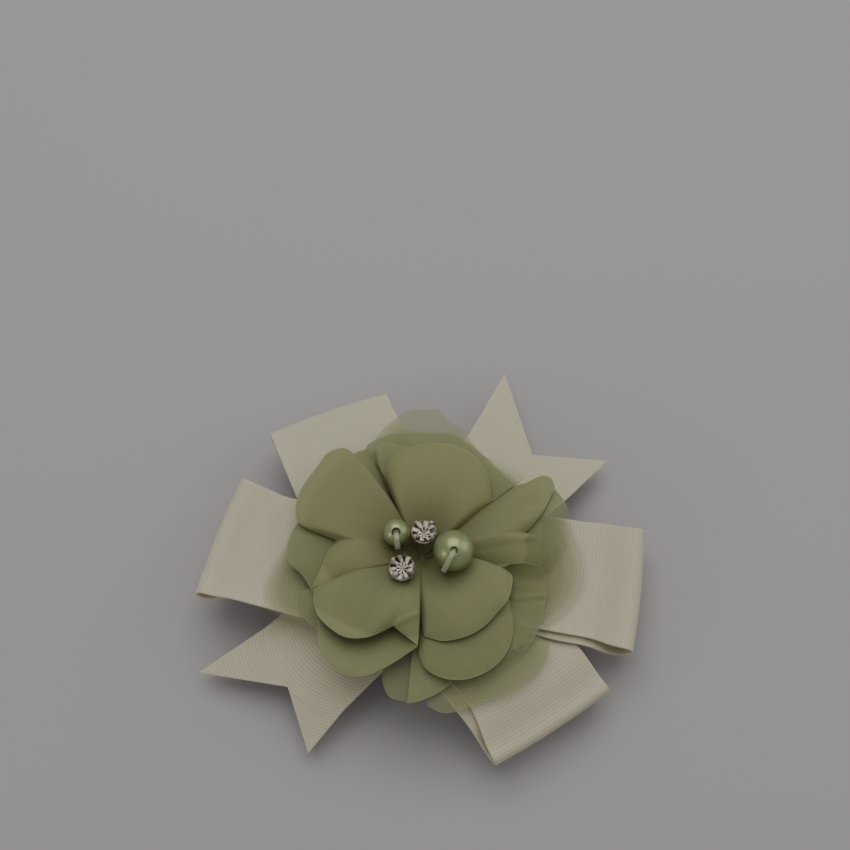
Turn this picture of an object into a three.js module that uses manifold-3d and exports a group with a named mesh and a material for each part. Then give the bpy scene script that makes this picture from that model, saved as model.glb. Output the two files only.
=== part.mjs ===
// Wrist corsage: a gathered chiffon flower with a pearl and rhinestone centre, on a ribbon bow,
// on an elastic wristband. Millimetres, +Z up. The origin is on the band's flat underside,
// straight below the flower's axis. -Y is the front.
import * as THREE from 'three';
import { mergeVertices } from 'three/addons/utils/BufferGeometryUtils.js';
import Module from 'manifold-3d';

const wasm = await Module();
wasm.setup();

// Driving dimensions.
const SEAT_GAP = 0.3; // clearance kept between pieces that touch
const LAYER_STEP = 1.0; // height from one cloth layer to the next where they are stacked
const RIBBON_THICKNESS = 0.6;
const PETAL_THICKNESS = 0.65;

const BAND_HEIGHT = 7; // outside height of the flattened elastic loop
const BAND_HALF_LENGTH = 32;
const BAND_ANGLE = -7.6; // the band runs along the side loops, in degrees from +X
const BAND_WIDTH = 12;
const BAND_THICKNESS = 1;

const FELT_RADIUS = 15;
const FELT_THICKNESS = 1.3;

const RIBBON_HALF_WIDTH = 12.2;
const RIBBON_CINCHED_HALF_WIDTH = 10;

const PETAL_ROOT_RADIUS = 3;
const BASE_RADIUS = 7;
const BASE_THICKNESS = 0.6;
const CORE_RADIUS = 2.2;
const CORE_HEIGHT = 4.4;

const PEARL_LARGE_RADIUS = 3.6;
const PEARL_SMALL_RADIUS = 2.45;
const PEARL_HOLE_RADIUS = 0.8;
const STONE_RADIUS = 1.9;
const SETTING_RADIUS = 2.4;
const CULET_Z = 0.3; // heights in a seat, from the middle of its cup's floor
const GIRDLE_Z = 1.6;
const TABLE_Z = 2.7;
const CUP_FLOOR_Z = -0.5;
const CUP_RIM_Z = 1.15;
const CLAW_WIDTH = 0.8;
const CLAW_THICKNESS = 0.4;
const STITCH_RADIUS = 0.35;

// Heights of the stack, from the band up.
const FELT_Z = BAND_HEIGHT + SEAT_GAP;
const TAIL_Z = FELT_Z + FELT_THICKNESS + SEAT_GAP + RIBBON_THICKNESS / 2;
const DIAGONAL_Z = TAIL_Z + LAYER_STEP;
const SIDE_Z = DIAGONAL_Z + 2 * LAYER_STEP;
const BASE_Z = SIDE_Z + LAYER_STEP + RIBBON_THICKNESS / 2 + SEAT_GAP;
const PETAL_Z = BASE_Z + BASE_THICKNESS + LAYER_STEP / 2 + PETAL_THICKNESS / 2;

const IVORY = 0xe9e2cf;
const SAGE = 0xa3ad7e;
const PALE_SAGE = 0xb6bc93;

const corsage = new THREE.Group();

function material(color, roughness, metalness = 0) {
  return new THREE.MeshStandardMaterial({ color, roughness, metalness });
}

function add(name, geometry, look, parent = corsage) {
  const mesh = new THREE.Mesh(geometry, look);
  mesh.name = name;
  parent.add(mesh);
  return mesh;
}

// A point at an angle in degrees, counterclockwise from +X, and a distance from the axis.
function polar(angle, distance, z) {
  const radians = THREE.MathUtils.degToRad(angle);
  return new THREE.Vector3(distance * Math.cos(radians), distance * Math.sin(radians), z);
}

// A closed sheet of even thickness round a grid of points. Both faces are split into the same
// triangles, so a waved sheet never crosses itself.
function sheet(grid, thickness) {
  const rows = grid.length;
  const columns = grid[0].length;
  const position = [];
  for (const side of [0.5, -0.5]) {
    for (let i = 0; i < rows; i++) {
      for (let j = 0; j < columns; j++) {
        const along = grid[Math.min(i + 1, rows - 1)][j].clone().sub(grid[Math.max(i - 1, 0)][j]);
        const across = grid[i][Math.min(j + 1, columns - 1)].clone().sub(grid[i][Math.max(j - 1, 0)]);
        const normal = along.cross(across).normalize();
        const point = grid[i][j].clone().addScaledVector(normal, side * thickness);
        position.push(point.x, point.y, point.z);
      }
    }
  }
  const at = (side, i, j) => (side * rows + i) * columns + j;
  const index = [];
  for (let i = 0; i + 1 < rows; i++) {
    for (let j = 0; j + 1 < columns; j++) {
      index.push(at(0, i, j), at(0, i + 1, j), at(0, i + 1, j + 1));
      index.push(at(0, i, j), at(0, i + 1, j + 1), at(0, i, j + 1));
      index.push(at(1, i, j), at(1, i + 1, j + 1), at(1, i + 1, j));
      index.push(at(1, i, j), at(1, i, j + 1), at(1, i + 1, j + 1));
    }
  }
  const edge = [];
  for (let i = 0; i < rows - 1; i++) edge.push([i, 0]);
  for (let j = 0; j < columns - 1; j++) edge.push([rows - 1, j]);
  for (let i = rows - 1; i > 0; i--) edge.push([i, columns - 1]);
  for (let j = columns - 1; j > 0; j--) edge.push([0, j]);
  edge.forEach((from, k) => {
    const to = edge[(k + 1) % edge.length];
    index.push(at(0, ...to), at(0, ...from), at(1, ...from));
    index.push(at(0, ...to), at(1, ...from), at(1, ...to));
  });
  const geometry = new THREE.BufferGeometry();
  geometry.setAttribute('position', new THREE.Float32BufferAttribute(position, 3));
  geometry.setIndex(index);
  geometry.computeVertexNormals();
  return geometry;
}

// Elastic wristband, lying as a flattened loop on its flat underside.
function wristband() {
  const outline = (Path, inset) => {
    const radius = BAND_HEIGHT / 2 - inset;
    const straight = BAND_HALF_LENGTH - BAND_HEIGHT / 2;
    const path = new Path();
    path.moveTo(-straight, inset);
    path.lineTo(straight, inset);
    path.absarc(straight, BAND_HEIGHT / 2, radius, -Math.PI / 2, Math.PI / 2, false);
    path.lineTo(-straight, BAND_HEIGHT - inset);
    path.absarc(-straight, BAND_HEIGHT / 2, radius, Math.PI / 2, 1.5 * Math.PI, false);
    return path;
  };
  const loop = outline(THREE.Shape, 0);
  loop.holes.push(outline(THREE.Path, BAND_THICKNESS));
  const geometry = new THREE.ExtrudeGeometry(loop, {
    depth: BAND_WIDTH,
    bevelEnabled: false,
    curveSegments: 10,
  });
  const band = add('wristband', geometry, material(IVORY, 0.85));
  band.rotation.set(Math.PI / 2, 0, 0);
  band.rotateY(THREE.MathUtils.degToRad(BAND_ANGLE));
  band.position.copy(polar(BAND_ANGLE + 90, BAND_WIDTH / 2, 0));
}

// Round felt pad that the ribbons and the flower are sewn to.
function feltBacking() {
  const pad = new THREE.CylinderGeometry(FELT_RADIUS, FELT_RADIUS, FELT_THICKNESS, 40);
  const felt = add('felt_backing', pad, material(0xe4dfd0, 0.95));
  felt.rotation.x = Math.PI / 2;
  felt.position.z = FELT_Z + FELT_THICKNESS / 2;
}

// One half of a bow: the ribbon goes out along the lower run, turns over the end and comes back
// above. Each arm is { angle, reach, centre, heading, facing, front, back, lean, flat, endZ, bend }:
// the direction of its end from the axis and how far out that is, the way the bow faces at the
// centre, the way the ribbon runs and the way its end faces, how far the upper run's front edge
// and both runs' back edge are drawn in at the flower, how much lower the back edge lies at the
// end, how far out the two runs lie flat, and the height and the radius of the turn.
function loopPath(arm, z) {
  const turn = arm.reach - RIBBON_THICKNESS / 2 - arm.bend;
  const free = turn - arm.flat;
  const lowZ = arm.endZ - arm.bend;
  const highZ = arm.endZ + arm.bend;
  const lower = new THREE.CubicBezierCurve(
    new THREE.Vector2(arm.flat, z),
    new THREE.Vector2(arm.flat + 0.5 * free, z),
    new THREE.Vector2(turn - 0.35 * free, lowZ),
    new THREE.Vector2(turn, lowZ),
  );
  const upper = new THREE.CubicBezierCurve(
    new THREE.Vector2(turn, highZ),
    new THREE.Vector2(turn - 0.4 * free, highZ),
    new THREE.Vector2(arm.flat + 0.5 * free, z + LAYER_STEP),
    new THREE.Vector2(arm.flat, z + LAYER_STEP),
  );
  const path = [];
  for (const out of [0.7, 9, 18]) path.push({ out, z, upper: 0 });
  for (const p of lower.getPoints(5)) path.push({ out: p.x, z: p.y, upper: 0 });
  for (let k = 1; k < 8; k++) {
    const swing = -Math.PI / 2 + (k * Math.PI) / 8;
    const out = turn + arm.bend * Math.cos(swing);
    path.push({ out, z: arm.endZ + arm.bend * Math.sin(swing), upper: k / 8 });
  }
  for (const p of upper.getPoints(6)) path.push({ out: p.x, z: p.y, upper: 1 });
  for (const out of [18, 9]) path.push({ out, z: z + LAYER_STEP, upper: 1 });
  return path;
}

// The ribbon's cross line at a step of an arm's path, from its front edge to its back edge. It
// swings from the bow's own line at the centre to the way that the end faces, and widens from
// the cinched middle.
function crossLine(arm, { out, z, upper }, sign) {
  const share = THREE.MathUtils.smoothstep(out, 0, arm.reach - 4);
  const facing = THREE.MathUtils.lerp(arm.centre, arm.facing, share);
  const open = THREE.MathUtils.smoothstep(out, 3, 18);
  const freed = THREE.MathUtils.smoothstep(out, arm.flat - 2, arm.reach);
  const half = THREE.MathUtils.lerp(RIBBON_CINCHED_HALF_WIDTH, RIBBON_HALF_WIDTH, open);
  const front = half - arm.front * upper * open * (1 - freed);
  const back = half - arm.back * open * (1 - freed);
  const drift = polar(arm.angle, arm.reach, 0).sub(polar(arm.heading, arm.reach, 0));
  const centre = polar(arm.heading, out, z).addScaledVector(drift, open);
  const line = [];
  for (const across of [0, 0.25, 0.5, 0.75, 1]) {
    const aside = sign * THREE.MathUtils.lerp(-front, back, across);
    const bow = 2 * share * across * (1 - across);
    const point = centre.clone().add(polar(facing + 90, aside, -arm.lean * freed * across));
    line.push(point.add(polar(facing, bow, 0)));
  }
  return line;
}

// A double-loop bow strip: one ribbon with a loop at each end, its two raw ends meeting under
// the middle.
function bowStrip(name, near, far, z) {
  const grid = loopPath(near, z).map((step) => crossLine(near, step, 1));
  grid.push(crossLine(near, { out: 0, z: z + LAYER_STEP, upper: 1 }, 1));
  grid.push(...loopPath(far, z).reverse().map((step) => crossLine(far, step, -1)));
  add(name, sheet(grid.reverse(), RIBBON_THICKNESS), material(IVORY, 0.8));
}

// The tail strip: one ribbon straight through the middle, its two ends cut in a swallow-tail.
// Each row is a line across the ribbon, as its left edge, middle and right edge.
function tailStrip() {
  const tips = 3.4;
  const free = 7.4;
  const rows = [
    [[-41.2, -17.4, tips], [-24.2, -20.8, free - 1], [-20.3, -32, tips]],
    [[-28.3, -9.7, free], [-19, -14.9, free], [-9.3, -19.9, free]],
    [[-19.5, -2.7, TAIL_Z - 0.2], [-12.3, -10, TAIL_Z - 0.1], [-5, -16.8, TAIL_Z - 0.2]],
    [[-7, 7, TAIL_Z], [0, 0, TAIL_Z], [7, -7, TAIL_Z]],
    [[4, 21.8, TAIL_Z - 0.2], [12, 14.4, TAIL_Z - 0.1], [20, 7.2, TAIL_Z - 0.2]],
    [[9.5, 29.5, free], [18.5, 21.5, free], [28.2, 14.7, free]],
    [[17.2, 45.5, tips], [21.8, 25, free], [37.1, 25.4, tips]],
  ];
  const COLUMNS = 6;
  const STEPS = 18;
  const columns = [];
  for (let j = 0; j <= COLUMNS; j++) {
    const across = (2 * j) / COLUMNS;
    const side = Math.min(Math.floor(across), 1);
    const points = rows.map((row) => {
      const from = new THREE.Vector3(...row[side]);
      return from.lerp(new THREE.Vector3(...row[side + 1]), across - side);
    });
    columns.push(new THREE.CatmullRomCurve3(points, false, 'centripetal').getPoints(STEPS));
  }
  const grid = columns[0].map((_, i) => columns.map((column) => column[i]));
  add('tail_strip', sheet(grid.reverse(), RIBBON_THICKNESS), material(IVORY, 0.8));
}

// Stiffened base of the flower, with the sewn core that the petals are gathered round.
function flowerBase() {
  const profile = [
    [0, 0],
    [BASE_RADIUS, 0],
    [BASE_RADIUS, BASE_THICKNESS],
    [CORE_RADIUS, BASE_THICKNESS],
    [CORE_RADIUS - 0.4, CORE_HEIGHT],
    [0, CORE_HEIGHT],
  ].map(([x, y]) => new THREE.Vector2(x, y));
  const base = add('flower_base', new THREE.LatheGeometry(profile, 24), material(SAGE, 0.9));
  base.rotation.x = Math.PI / 2;
  base.position.z = BASE_Z;
}

// A petal: a blade of chiffon that fans out from its gathered root to its rim. The rim is a list
// of [angle, distance from the axis, height], counterclockwise; its two ends are the corners of
// the petal's side folds. puff lifts the middle, a turn over 1 keeps the blade's change of height
// to near its rim, and steps is the number of facets in each span of the rim.
function petal({ name, rim, root, rootZ, puff = 0, turn = 1, steps = 1, rows = 5, color = SAGE }) {
  const outline = new THREE.CatmullRomCurve3(rim.map((p) => polar(...p)), false, 'centripetal');
  const columns = steps * (rim.length - 1);
  const grid = [];
  for (let i = 0; i <= rows; i++) {
    const out = i / rows;
    const line = [];
    for (let j = 0; j <= columns; j++) {
      const side = j / columns;
      const from = polar(THREE.MathUtils.lerp(root[0], root[1], side), PETAL_ROOT_RADIUS, rootZ);
      const to = outline.getPoint(side);
      const point = from.clone().lerp(to, out);
      const middle = 1 - Math.abs(2 * side - 1) ** 4;
      point.z = THREE.MathUtils.lerp(rootZ, to.z, out ** turn);
      point.z += puff * Math.sin(Math.PI * out ** 1.5) * middle;
      line.push(point);
    }
    grid.push(line);
  }
  add(name, sheet(grid, PETAL_THICKNESS), material(color, 0.75));
}

// Top ring: five full, puffed petals whose sides plunge into the creases between them.
function topPetals() {
  const z = PETAL_Z + 3 * LAYER_STEP;
  const shape = { rootZ: z, puff: 2.9, rows: 7 };
  petal({
    name: 'petal_top_back', ...shape, root: [39, 119], steps: 2,
    rim: [[39.3, 16.6, 18.2], [49, 19, 19], [61, 21.5, 19.6], [75, 22.4, 19.9], [89, 21.7, 19.8],
      [102, 19.6, 19.4], [114.5, 18.2, 18.3]],
  });
  petal({
    name: 'petal_top_left', ...shape, root: [126, 176],
    rim: [[122, 22, 18.2], [125.8, 26, 18.5], [132, 26.4, 19], [141, 25.4, 19.3], [151, 24.9, 19.3],
      [160.5, 24.2, 18.8], [166, 20.8, 18.3], [170.6, 15.8, 18.6], [176, 17.2, 19.2], [184.5, 18, 19.2],
      [192.5, 19, 18.2]],
  });
  petal({
    name: 'petal_top_front_left', ...shape, root: [184, 252],
    rim: [[197.5, 20, 18.2], [204.5, 20.9, 18.8], [212, 21.3, 19.3], [220.5, 20.9, 19.6], [229, 20.1, 19.6],
      [238, 18.3, 19.4], [247.5, 15.2, 19], [256, 12.8, 18.8], [265.5, 11.7, 18.3]],
  });
  petal({
    name: 'petal_top_front_right', ...shape, root: [263, 290],
    rim: [[273.5, 15, 18.2], [282, 16, 18.9], [291, 16.6, 19.4], [300, 17, 19.7], [310, 17.1, 19.9],
      [321, 17, 19.9], [331, 17.3, 19.8], [339.5, 17, 19.6], [346.5, 16.5, 19], [351, 15, 18.3]],
  });
  petal({
    name: 'petal_top_right', ...shape, root: [-46, 31],
    rim: [[3, 25.5, 17.6], [7, 23, 18], [12.9, 19.2, 18.4], [18.3, 21.6, 18.7], [24, 25.2, 18.7],
      [29.5, 27.5, 18.4], [33, 27.6, 18.1], [34.5, 26, 17.9]],
  });
}

// Second ring, straight under the top one and reaching past it.
function secondPetals() {
  const shape = { rootZ: PETAL_Z + 2 * LAYER_STEP };
  petal({
    name: 'petal_second_back', ...shape, root: [39, 119],
    rim: [[39.6, 25.4, 16.9], [46, 25.1, 17.1], [53, 24.4, 17.1], [60, 23.2, 17], [70, 22.2, 17],
      [81, 21.6, 17], [93, 21.8, 17], [101.5, 23.1, 17.1], [107.5, 24.4, 17.2], [111.5, 23.8, 17.1],
      [114, 21, 16.9]],
  });
  petal({
    name: 'petal_second_left', ...shape, root: [126, 176],
    rim: [[123, 21.5, 16.9], [133, 23, 17], [144, 23, 17], [155, 22.8, 17], [163, 23.7, 17.1],
      [170, 24.4, 17.1], [176, 24.5, 17], [182, 23.9, 17], [187, 22, 16.9], [193, 21, 16.8]],
  });
  petal({
    name: 'petal_second_front_left', ...shape, root: [184, 252], turn: 4,
    rim: [[197, 19.5, 16.8], [206, 20.8, 16.9], [214, 22.1, 17], [220, 23.6, 17], [226, 24.8, 17],
      [231.5, 25.2, 16.9], [238, 24.9, 16.9], [245, 23.6, 17], [251, 21.4, 17.2], [257.5, 19, 17.5],
      [265.5, 16.2, 18]],
  });
  petal({
    name: 'petal_second_front_right', ...shape, root: [263, 290],
    rim: [[270.5, 17.2, 16.8], [274, 20.1, 17], [280, 22.2, 17.1], [288, 23.2, 17.1], [297, 23.5, 17.1],
      [306, 23.2, 17.1], [314, 22.2, 17.1], [322, 20.4, 17.2], [332, 17.6, 17.2], [342, 15.7, 17.2],
      [350.5, 14.6, 17.2]],
  });
  petal({
    name: 'petal_second_right', ...shape, root: [-46, 31],
    rim: [[2, 27, 15.8], [8.5, 28.8, 15.6], [16, 28.9, 15.5], [22.5, 28.7, 15.5], [28, 28, 15.6],
      [33.5, 25.5, 16]],
  });
}

// Third ring, seen only where it reaches out between and past the upper petals.
function thirdPetals() {
  const shape = { rootZ: PETAL_Z + LAYER_STEP, rows: 4 };
  petal({
    name: 'petal_third_back', ...shape, root: [42, 116],
    rim: [[41, 23, 15.6], [51, 23.4, 15.4], [62, 24.5, 15.3], [70, 25.6, 15.2], [77, 26.6, 15.2],
      [87, 26.2, 15.2], [98, 26.5, 15.2], [106, 26.5, 15.2], [113, 26.2, 15.3]],
  });
  petal({
    name: 'petal_third_left', ...shape, root: [122, 182],
    rim: [[117.5, 24.5, 15.4], [128, 23, 15.5], [145, 22.5, 15.5], [160, 22.5, 15.5], [175, 22.4, 15.4],
      [188, 21.2, 15.3]],
  });
  petal({
    name: 'petal_third_front_left', ...shape, root: [188, 248],
    rim: [[194, 22.5, 15.4], [205, 23.6, 15.3], [214, 22.6, 15.4], [228, 22.6, 15.4], [242, 22.4, 15.4],
      [253, 20, 15.5]],
  });
  petal({
    name: 'petal_third_front', ...shape, root: [254, 268],
    rim: [[258, 22, 15.3], [264.8, 25.5, 15.2], [271, 24.9, 15.3], [277, 23.9, 15.4], [281.5, 22.6, 15.5]],
  });
  petal({
    name: 'petal_third_front_right', ...shape, root: [274, 296], turn: 8,
    rim: [[285, 22.7, 15.5], [293, 24.9, 15.5], [302.5, 25.4, 15.6], [316, 25.8, 15.7], [327, 24.7, 16],
      [336.5, 23.5, 16.3], [345, 22.8, 16.6], [351.5, 21.5, 16.8], [354.5, 18.5, 16.4]],
  });
}

// Outer ring: single, paler blades that lie over the ribbons.
function outerPetals() {
  const shape = { rootZ: PETAL_Z, rows: 4, color: PALE_SAGE };
  petal({
    name: 'petal_outer_back', ...shape, root: [66, 110],
    rim: [[64, 25, 14.2], [69, 26.6, 14.2], [75.5, 28.8, 14.2], [80, 29.8, 14.1], [84, 31.9, 14],
      [90, 31.8, 14], [96, 31.4, 14], [100, 30, 14.1], [105, 28.4, 14.2], [110.5, 27.8, 14.2]],
  });
  petal({
    name: 'petal_outer_left_back', ...shape, root: [116, 160],
    rim: [[114, 27, 14.1], [119, 26.3, 14.2], [130, 25.5, 14.3], [148, 24.5, 14.3], [164, 24.5, 14.3]],
  });
  petal({
    name: 'petal_outer_left', ...shape, root: [166, 216],
    rim: [[168, 25, 14.3], [178, 26.9, 14.3], [186, 28.7, 14.2], [191, 29.3, 14.2], [197.5, 29, 14.2],
      [203, 26.6, 14.2], [208, 24.3, 14.3], [213, 21.8, 14.4]],
  });
  petal({
    name: 'petal_outer_front', ...shape, root: [222, 262],
    rim: [[250, 19.5, 14.3], [253, 23, 14.1], [257, 24.9, 14], [262, 25.3, 14], [267, 25.2, 14.1]],
  });
  petal({
    name: 'petal_outer_front_right', ...shape, root: [268, 316],
    rim: [[272, 25.8, 14.1], [278, 27.3, 14], [285, 27.4, 14], [292, 27.2, 14], [301, 28, 14],
      [311, 28.6, 14], [320, 28.4, 14], [326.5, 27.4, 14.1]],
  });
  petal({
    name: 'petal_outer_right', ...shape, root: [-38, 60],
    rim: [[-28, 25.4, 14.3], [-20, 26.6, 14.2], [-11, 27.8, 14.2], [-3, 28.3, 14.2], [6, 28.3, 14.2],
      [15, 28, 14.1], [24, 27.4, 14.1], [32, 26, 14.1], [45, 24, 14.2], [59, 23.5, 14.3]],
  });
}

// A pearl: a bead with a hole right through it, whose axis is turned towards a direction.
function pearl(name, radius, centre, toward) {
  const rise = Math.sqrt(radius ** 2 - PEARL_HOLE_RADIUS ** 2);
  const start = Math.atan2(PEARL_HOLE_RADIUS, -rise);
  const end = Math.atan2(PEARL_HOLE_RADIUS, rise);
  const profile = [];
  for (let k = 0; k <= 12; k++) {
    const swing = THREE.MathUtils.lerp(start, end, k / 12);
    profile.push(new THREE.Vector2(radius * Math.sin(swing), radius * Math.cos(swing)));
  }
  profile.push(profile[0].clone());
  const bead = add(name, new THREE.LatheGeometry(profile, 20), material(0xb9c98f, 0.25));
  bead.quaternion.setFromUnitVectors(new THREE.Vector3(0, 1, 0), toward);
  bead.position.copy(centre);
}

// A stitch of doubled thread: up out of the bead's hole, over its front and down to the petals.
function stitch(name, radius, centre, toward, aside) {
  const down = toward.clone().applyAxisAngle(new THREE.Vector3(1, 0, 0), Math.PI / 2);
  down.addScaledVector(new THREE.Vector3(1, 0, 0), aside).normalize();
  const clear = radius + STITCH_RADIUS + SEAT_GAP;
  const points = [toward.clone().multiplyScalar(clear - 0.9)];
  for (const swing of [0.12, 0.4, 0.75, 1.1, 1.4]) {
    const around = toward.clone().multiplyScalar(Math.cos(swing)).addScaledVector(down, Math.sin(swing));
    points.push(around.multiplyScalar(clear));
  }
  const route = new THREE.CatmullRomCurve3(points.map((p) => p.add(centre)));
  const section = new THREE.Shape().absarc(0, 0, STITCH_RADIUS, 0, 2 * Math.PI, false);
  const geometry = new THREE.ExtrudeGeometry(section, { steps: 12, curveSegments: 6, extrudePath: route });
  add(name, geometry, material(0xd5d2b0, 0.7));
}

function toSolid(geometry) {
  const plain = geometry.clone();
  plain.deleteAttribute('normal');
  plain.deleteAttribute('uv');
  const merged = mergeVertices(plain, 1e-4);
  return new wasm.Manifold(new wasm.Mesh({
    numProp: 3,
    vertProperties: new Float32Array(merged.attributes.position.array),
    triVerts: new Uint32Array(merged.index.array),
  }));
}

function fromSolid(solid) {
  const mesh = solid.getMesh();
  const geometry = new THREE.BufferGeometry();
  geometry.setAttribute('position', new THREE.BufferAttribute(mesh.vertProperties, 3));
  geometry.setIndex(new THREE.BufferAttribute(mesh.triVerts, 1));
  geometry.computeVertexNormals();
  return geometry;
}

// A rhinestone: a flat-topped cut stone with twelve facets a tier.
function stone(name, group) {
  const profile = [
    [0, CULET_Z],
    [STONE_RADIUS, GIRDLE_Z],
    [STONE_RADIUS, GIRDLE_Z + 0.3],
    [0.6 * STONE_RADIUS, TABLE_Z],
    [0, TABLE_Z],
  ].map(([x, y]) => new THREE.Vector2(x, y));
  const cut = new THREE.LatheGeometry(profile, 12);
  cut.rotateX(Math.PI / 2);
  add(name, cut, material(0xf4f4f4, 0.05), group);
}

// The silver setting: a cup with an open floor under the stone, and four claws that bend over
// the stone's edge.
function setting(name, group) {
  const outside = SETTING_RADIUS - 0.1;
  const inside = STONE_RADIUS + 0.15;
  const hole = 1;
  const profile = [
    [hole, CUP_FLOOR_Z],
    [hole + 0.6, CUP_FLOOR_Z],
    [outside, 0.7],
    [outside, CUP_RIM_Z],
    [inside, CUP_RIM_Z],
    [inside, CUP_RIM_Z - 0.2],
    [hole, CUP_FLOOR_Z + 0.3],
    [hole, CUP_FLOOR_Z],
  ].map(([x, y]) => new THREE.Vector2(x, y));
  const cup = new THREE.LatheGeometry(profile, 16);
  cup.rotateX(Math.PI / 2);
  let body = toSolid(cup);
  const bend = TABLE_Z + 0.15;
  for (let k = 0; k < 4; k++) {
    const post = new THREE.BoxGeometry(CLAW_THICKNESS, CLAW_WIDTH, 2.2);
    post.translate(SETTING_RADIUS + 0.06, 0, GIRDLE_Z);
    const tip = new THREE.BoxGeometry(1.2, CLAW_WIDTH - 0.1, CLAW_THICKNESS);
    tip.translate(SETTING_RADIUS - 0.36, 0, bend);
    for (const claw of [post, tip]) {
      claw.rotateZ(((k + 0.5) * Math.PI) / 2);
      body = body.add(toSolid(claw));
    }
  }
  add(name, fromSolid(body), material(0xb8b8b6, 0.25, 0.9), group);
}

// The flower's centre: two pearls and two claw-set rhinestones, tilted outwards.
function centreCluster() {
  const front = new THREE.Vector3(0, -0.35, 0.94).normalize();
  const small = new THREE.Vector3(-4.5, 2.9, 22.4);
  const large = new THREE.Vector3(5.6, -0.9, 23.5);
  pearl('pearl_small', PEARL_SMALL_RADIUS, small, front);
  pearl('pearl_large', PEARL_LARGE_RADIUS, large, front);
  stitch('stitch_small', PEARL_SMALL_RADIUS, small, front, 0.1);
  stitch('stitch_large', PEARL_LARGE_RADIUS, large, front, -0.5);
  const seats = [
    { name: 'back', place: [0.4, 3.3, 20.2], tilt: [-0.12, 0] },
    { name: 'front', place: [-3.3, -3.4, 20.9], tilt: [0.15, -0.15] },
  ];
  for (const seat of seats) {
    const group = new THREE.Group();
    group.position.set(...seat.place);
    group.rotation.set(seat.tilt[0], seat.tilt[1], 0);
    corsage.add(group);
    stone(`rhinestone_${seat.name}`, group);
    setting(`setting_${seat.name}`, group);
  }
}

wristband();
feltBacking();
tailStrip();
bowStrip(
  'bow_diagonal',
  {
    angle: -50.5, reach: 36.8, centre: -55.6, heading: -52, facing: -58, front: 4, back: 0,
    lean: 0, flat: 27, endZ: 7.2, bend: 2.7,
  },
  {
    angle: 119.3, reach: 38.6, centre: 124.4, heading: 113, facing: 111.5, front: 0, back: 0,
    lean: 0, flat: 27, endZ: 7.9, bend: 2,
  },
  DIAGONAL_Z,
);
bowStrip(
  'bow_side',
  {
    angle: -4.5, reach: 40.6, centre: -7.6, heading: -10.3, facing: -10.3, front: 0, back: 1.6,
    lean: 2, flat: 30, endZ: 8.8, bend: 3,
  },
  {
    angle: 169.2, reach: 39.3, centre: 172.4, heading: 164.7, facing: 164.7, front: 0, back: 2.8,
    lean: 2, flat: 30, endZ: 9.8, bend: 1.9,
  },
  SIDE_Z,
);
flowerBase();
outerPetals();
thirdPetals();
secondPetals();
topPetals();
centreCluster();

export default corsage;
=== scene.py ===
# Wrist corsage: a gathered chiffon flower on a ribbon bow and an elastic wristband.
# Metres, +Z up. The band's underside lies on z = 0 and -Y is the front.
import math

import bpy
import numpy as np
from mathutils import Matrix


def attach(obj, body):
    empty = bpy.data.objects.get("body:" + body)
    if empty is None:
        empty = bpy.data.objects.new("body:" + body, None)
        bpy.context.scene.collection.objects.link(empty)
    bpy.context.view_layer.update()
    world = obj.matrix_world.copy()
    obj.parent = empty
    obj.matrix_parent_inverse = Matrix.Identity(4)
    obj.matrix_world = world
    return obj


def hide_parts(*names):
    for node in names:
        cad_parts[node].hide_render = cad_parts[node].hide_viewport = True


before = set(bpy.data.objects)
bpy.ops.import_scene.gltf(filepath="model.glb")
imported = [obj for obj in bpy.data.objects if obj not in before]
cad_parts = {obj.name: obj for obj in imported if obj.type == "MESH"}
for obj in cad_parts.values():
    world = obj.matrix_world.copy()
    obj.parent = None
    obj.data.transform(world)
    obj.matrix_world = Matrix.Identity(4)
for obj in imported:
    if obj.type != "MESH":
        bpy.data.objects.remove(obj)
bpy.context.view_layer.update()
MM = 0.001


# ---------------------------------------------------------------- camera and room
# The corsage lies on a plain pale table top. The camera stands in front of it and looks
# steeply down; a large soft light hangs above the far side, and two small windows on the
# right and the left catch in the beads.
CAMERA_PLACE = (0.00058, -0.07125, 0.21543)
CAMERA_DOWN = 63.7
DAYLIGHT = (1.0, 0.99, 0.97)
TABLE_HALF = 0.9
TABLE_DROP = 0.0002

camera = bpy.data.objects.new("camera", bpy.data.cameras.new("camera"))
camera.data.lens = 49.13
camera.data.sensor_width = 36.0
camera.data.clip_start = 0.005
camera.location = CAMERA_PLACE
camera.rotation_euler = (math.radians(90 - CAMERA_DOWN), 0.0, 0.0)
bpy.context.collection.objects.link(camera)
bpy.context.scene.camera = camera


def soft_light(name, place, aim, size, watts, tint):
    """A square area light at a place, turned so that it shines on a point."""
    lamp = bpy.data.lights.new(name, "AREA")
    lamp.size = size
    lamp.energy = watts
    lamp.color = tint
    holder = bpy.data.objects.new(name, lamp)
    way = np.array(aim) - np.array(place)
    holder.location = place
    holder.rotation_euler = (
        math.atan2(math.hypot(way[0], way[1]), -way[2]),
        0.0,
        math.atan2(way[1], way[0]) - math.pi / 2,
    )
    bpy.context.collection.objects.link(holder)


soft_light("light_above", (-0.02, 0.25, 0.60), (0, 0, 0), size=0.6, watts=2.42, tint=(1.0, 0.98, 0.95))
soft_light("window_right", (0.58, 0.14, 0.34), (0, 0, 0.02), size=0.5, watts=0.74, tint=DAYLIGHT)
soft_light("window_left", (-0.46, -0.25, 0.24), (0, 0, 0.02), size=0.16, watts=0.3, tint=DAYLIGHT)

room = bpy.data.worlds.new("room")
room.use_nodes = True
room.node_tree.nodes["Background"].inputs["Color"].default_value = (0.93, 0.93, 0.95, 1)
room.node_tree.nodes["Background"].inputs["Strength"].default_value = 0.31
bpy.context.scene.world = room


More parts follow.
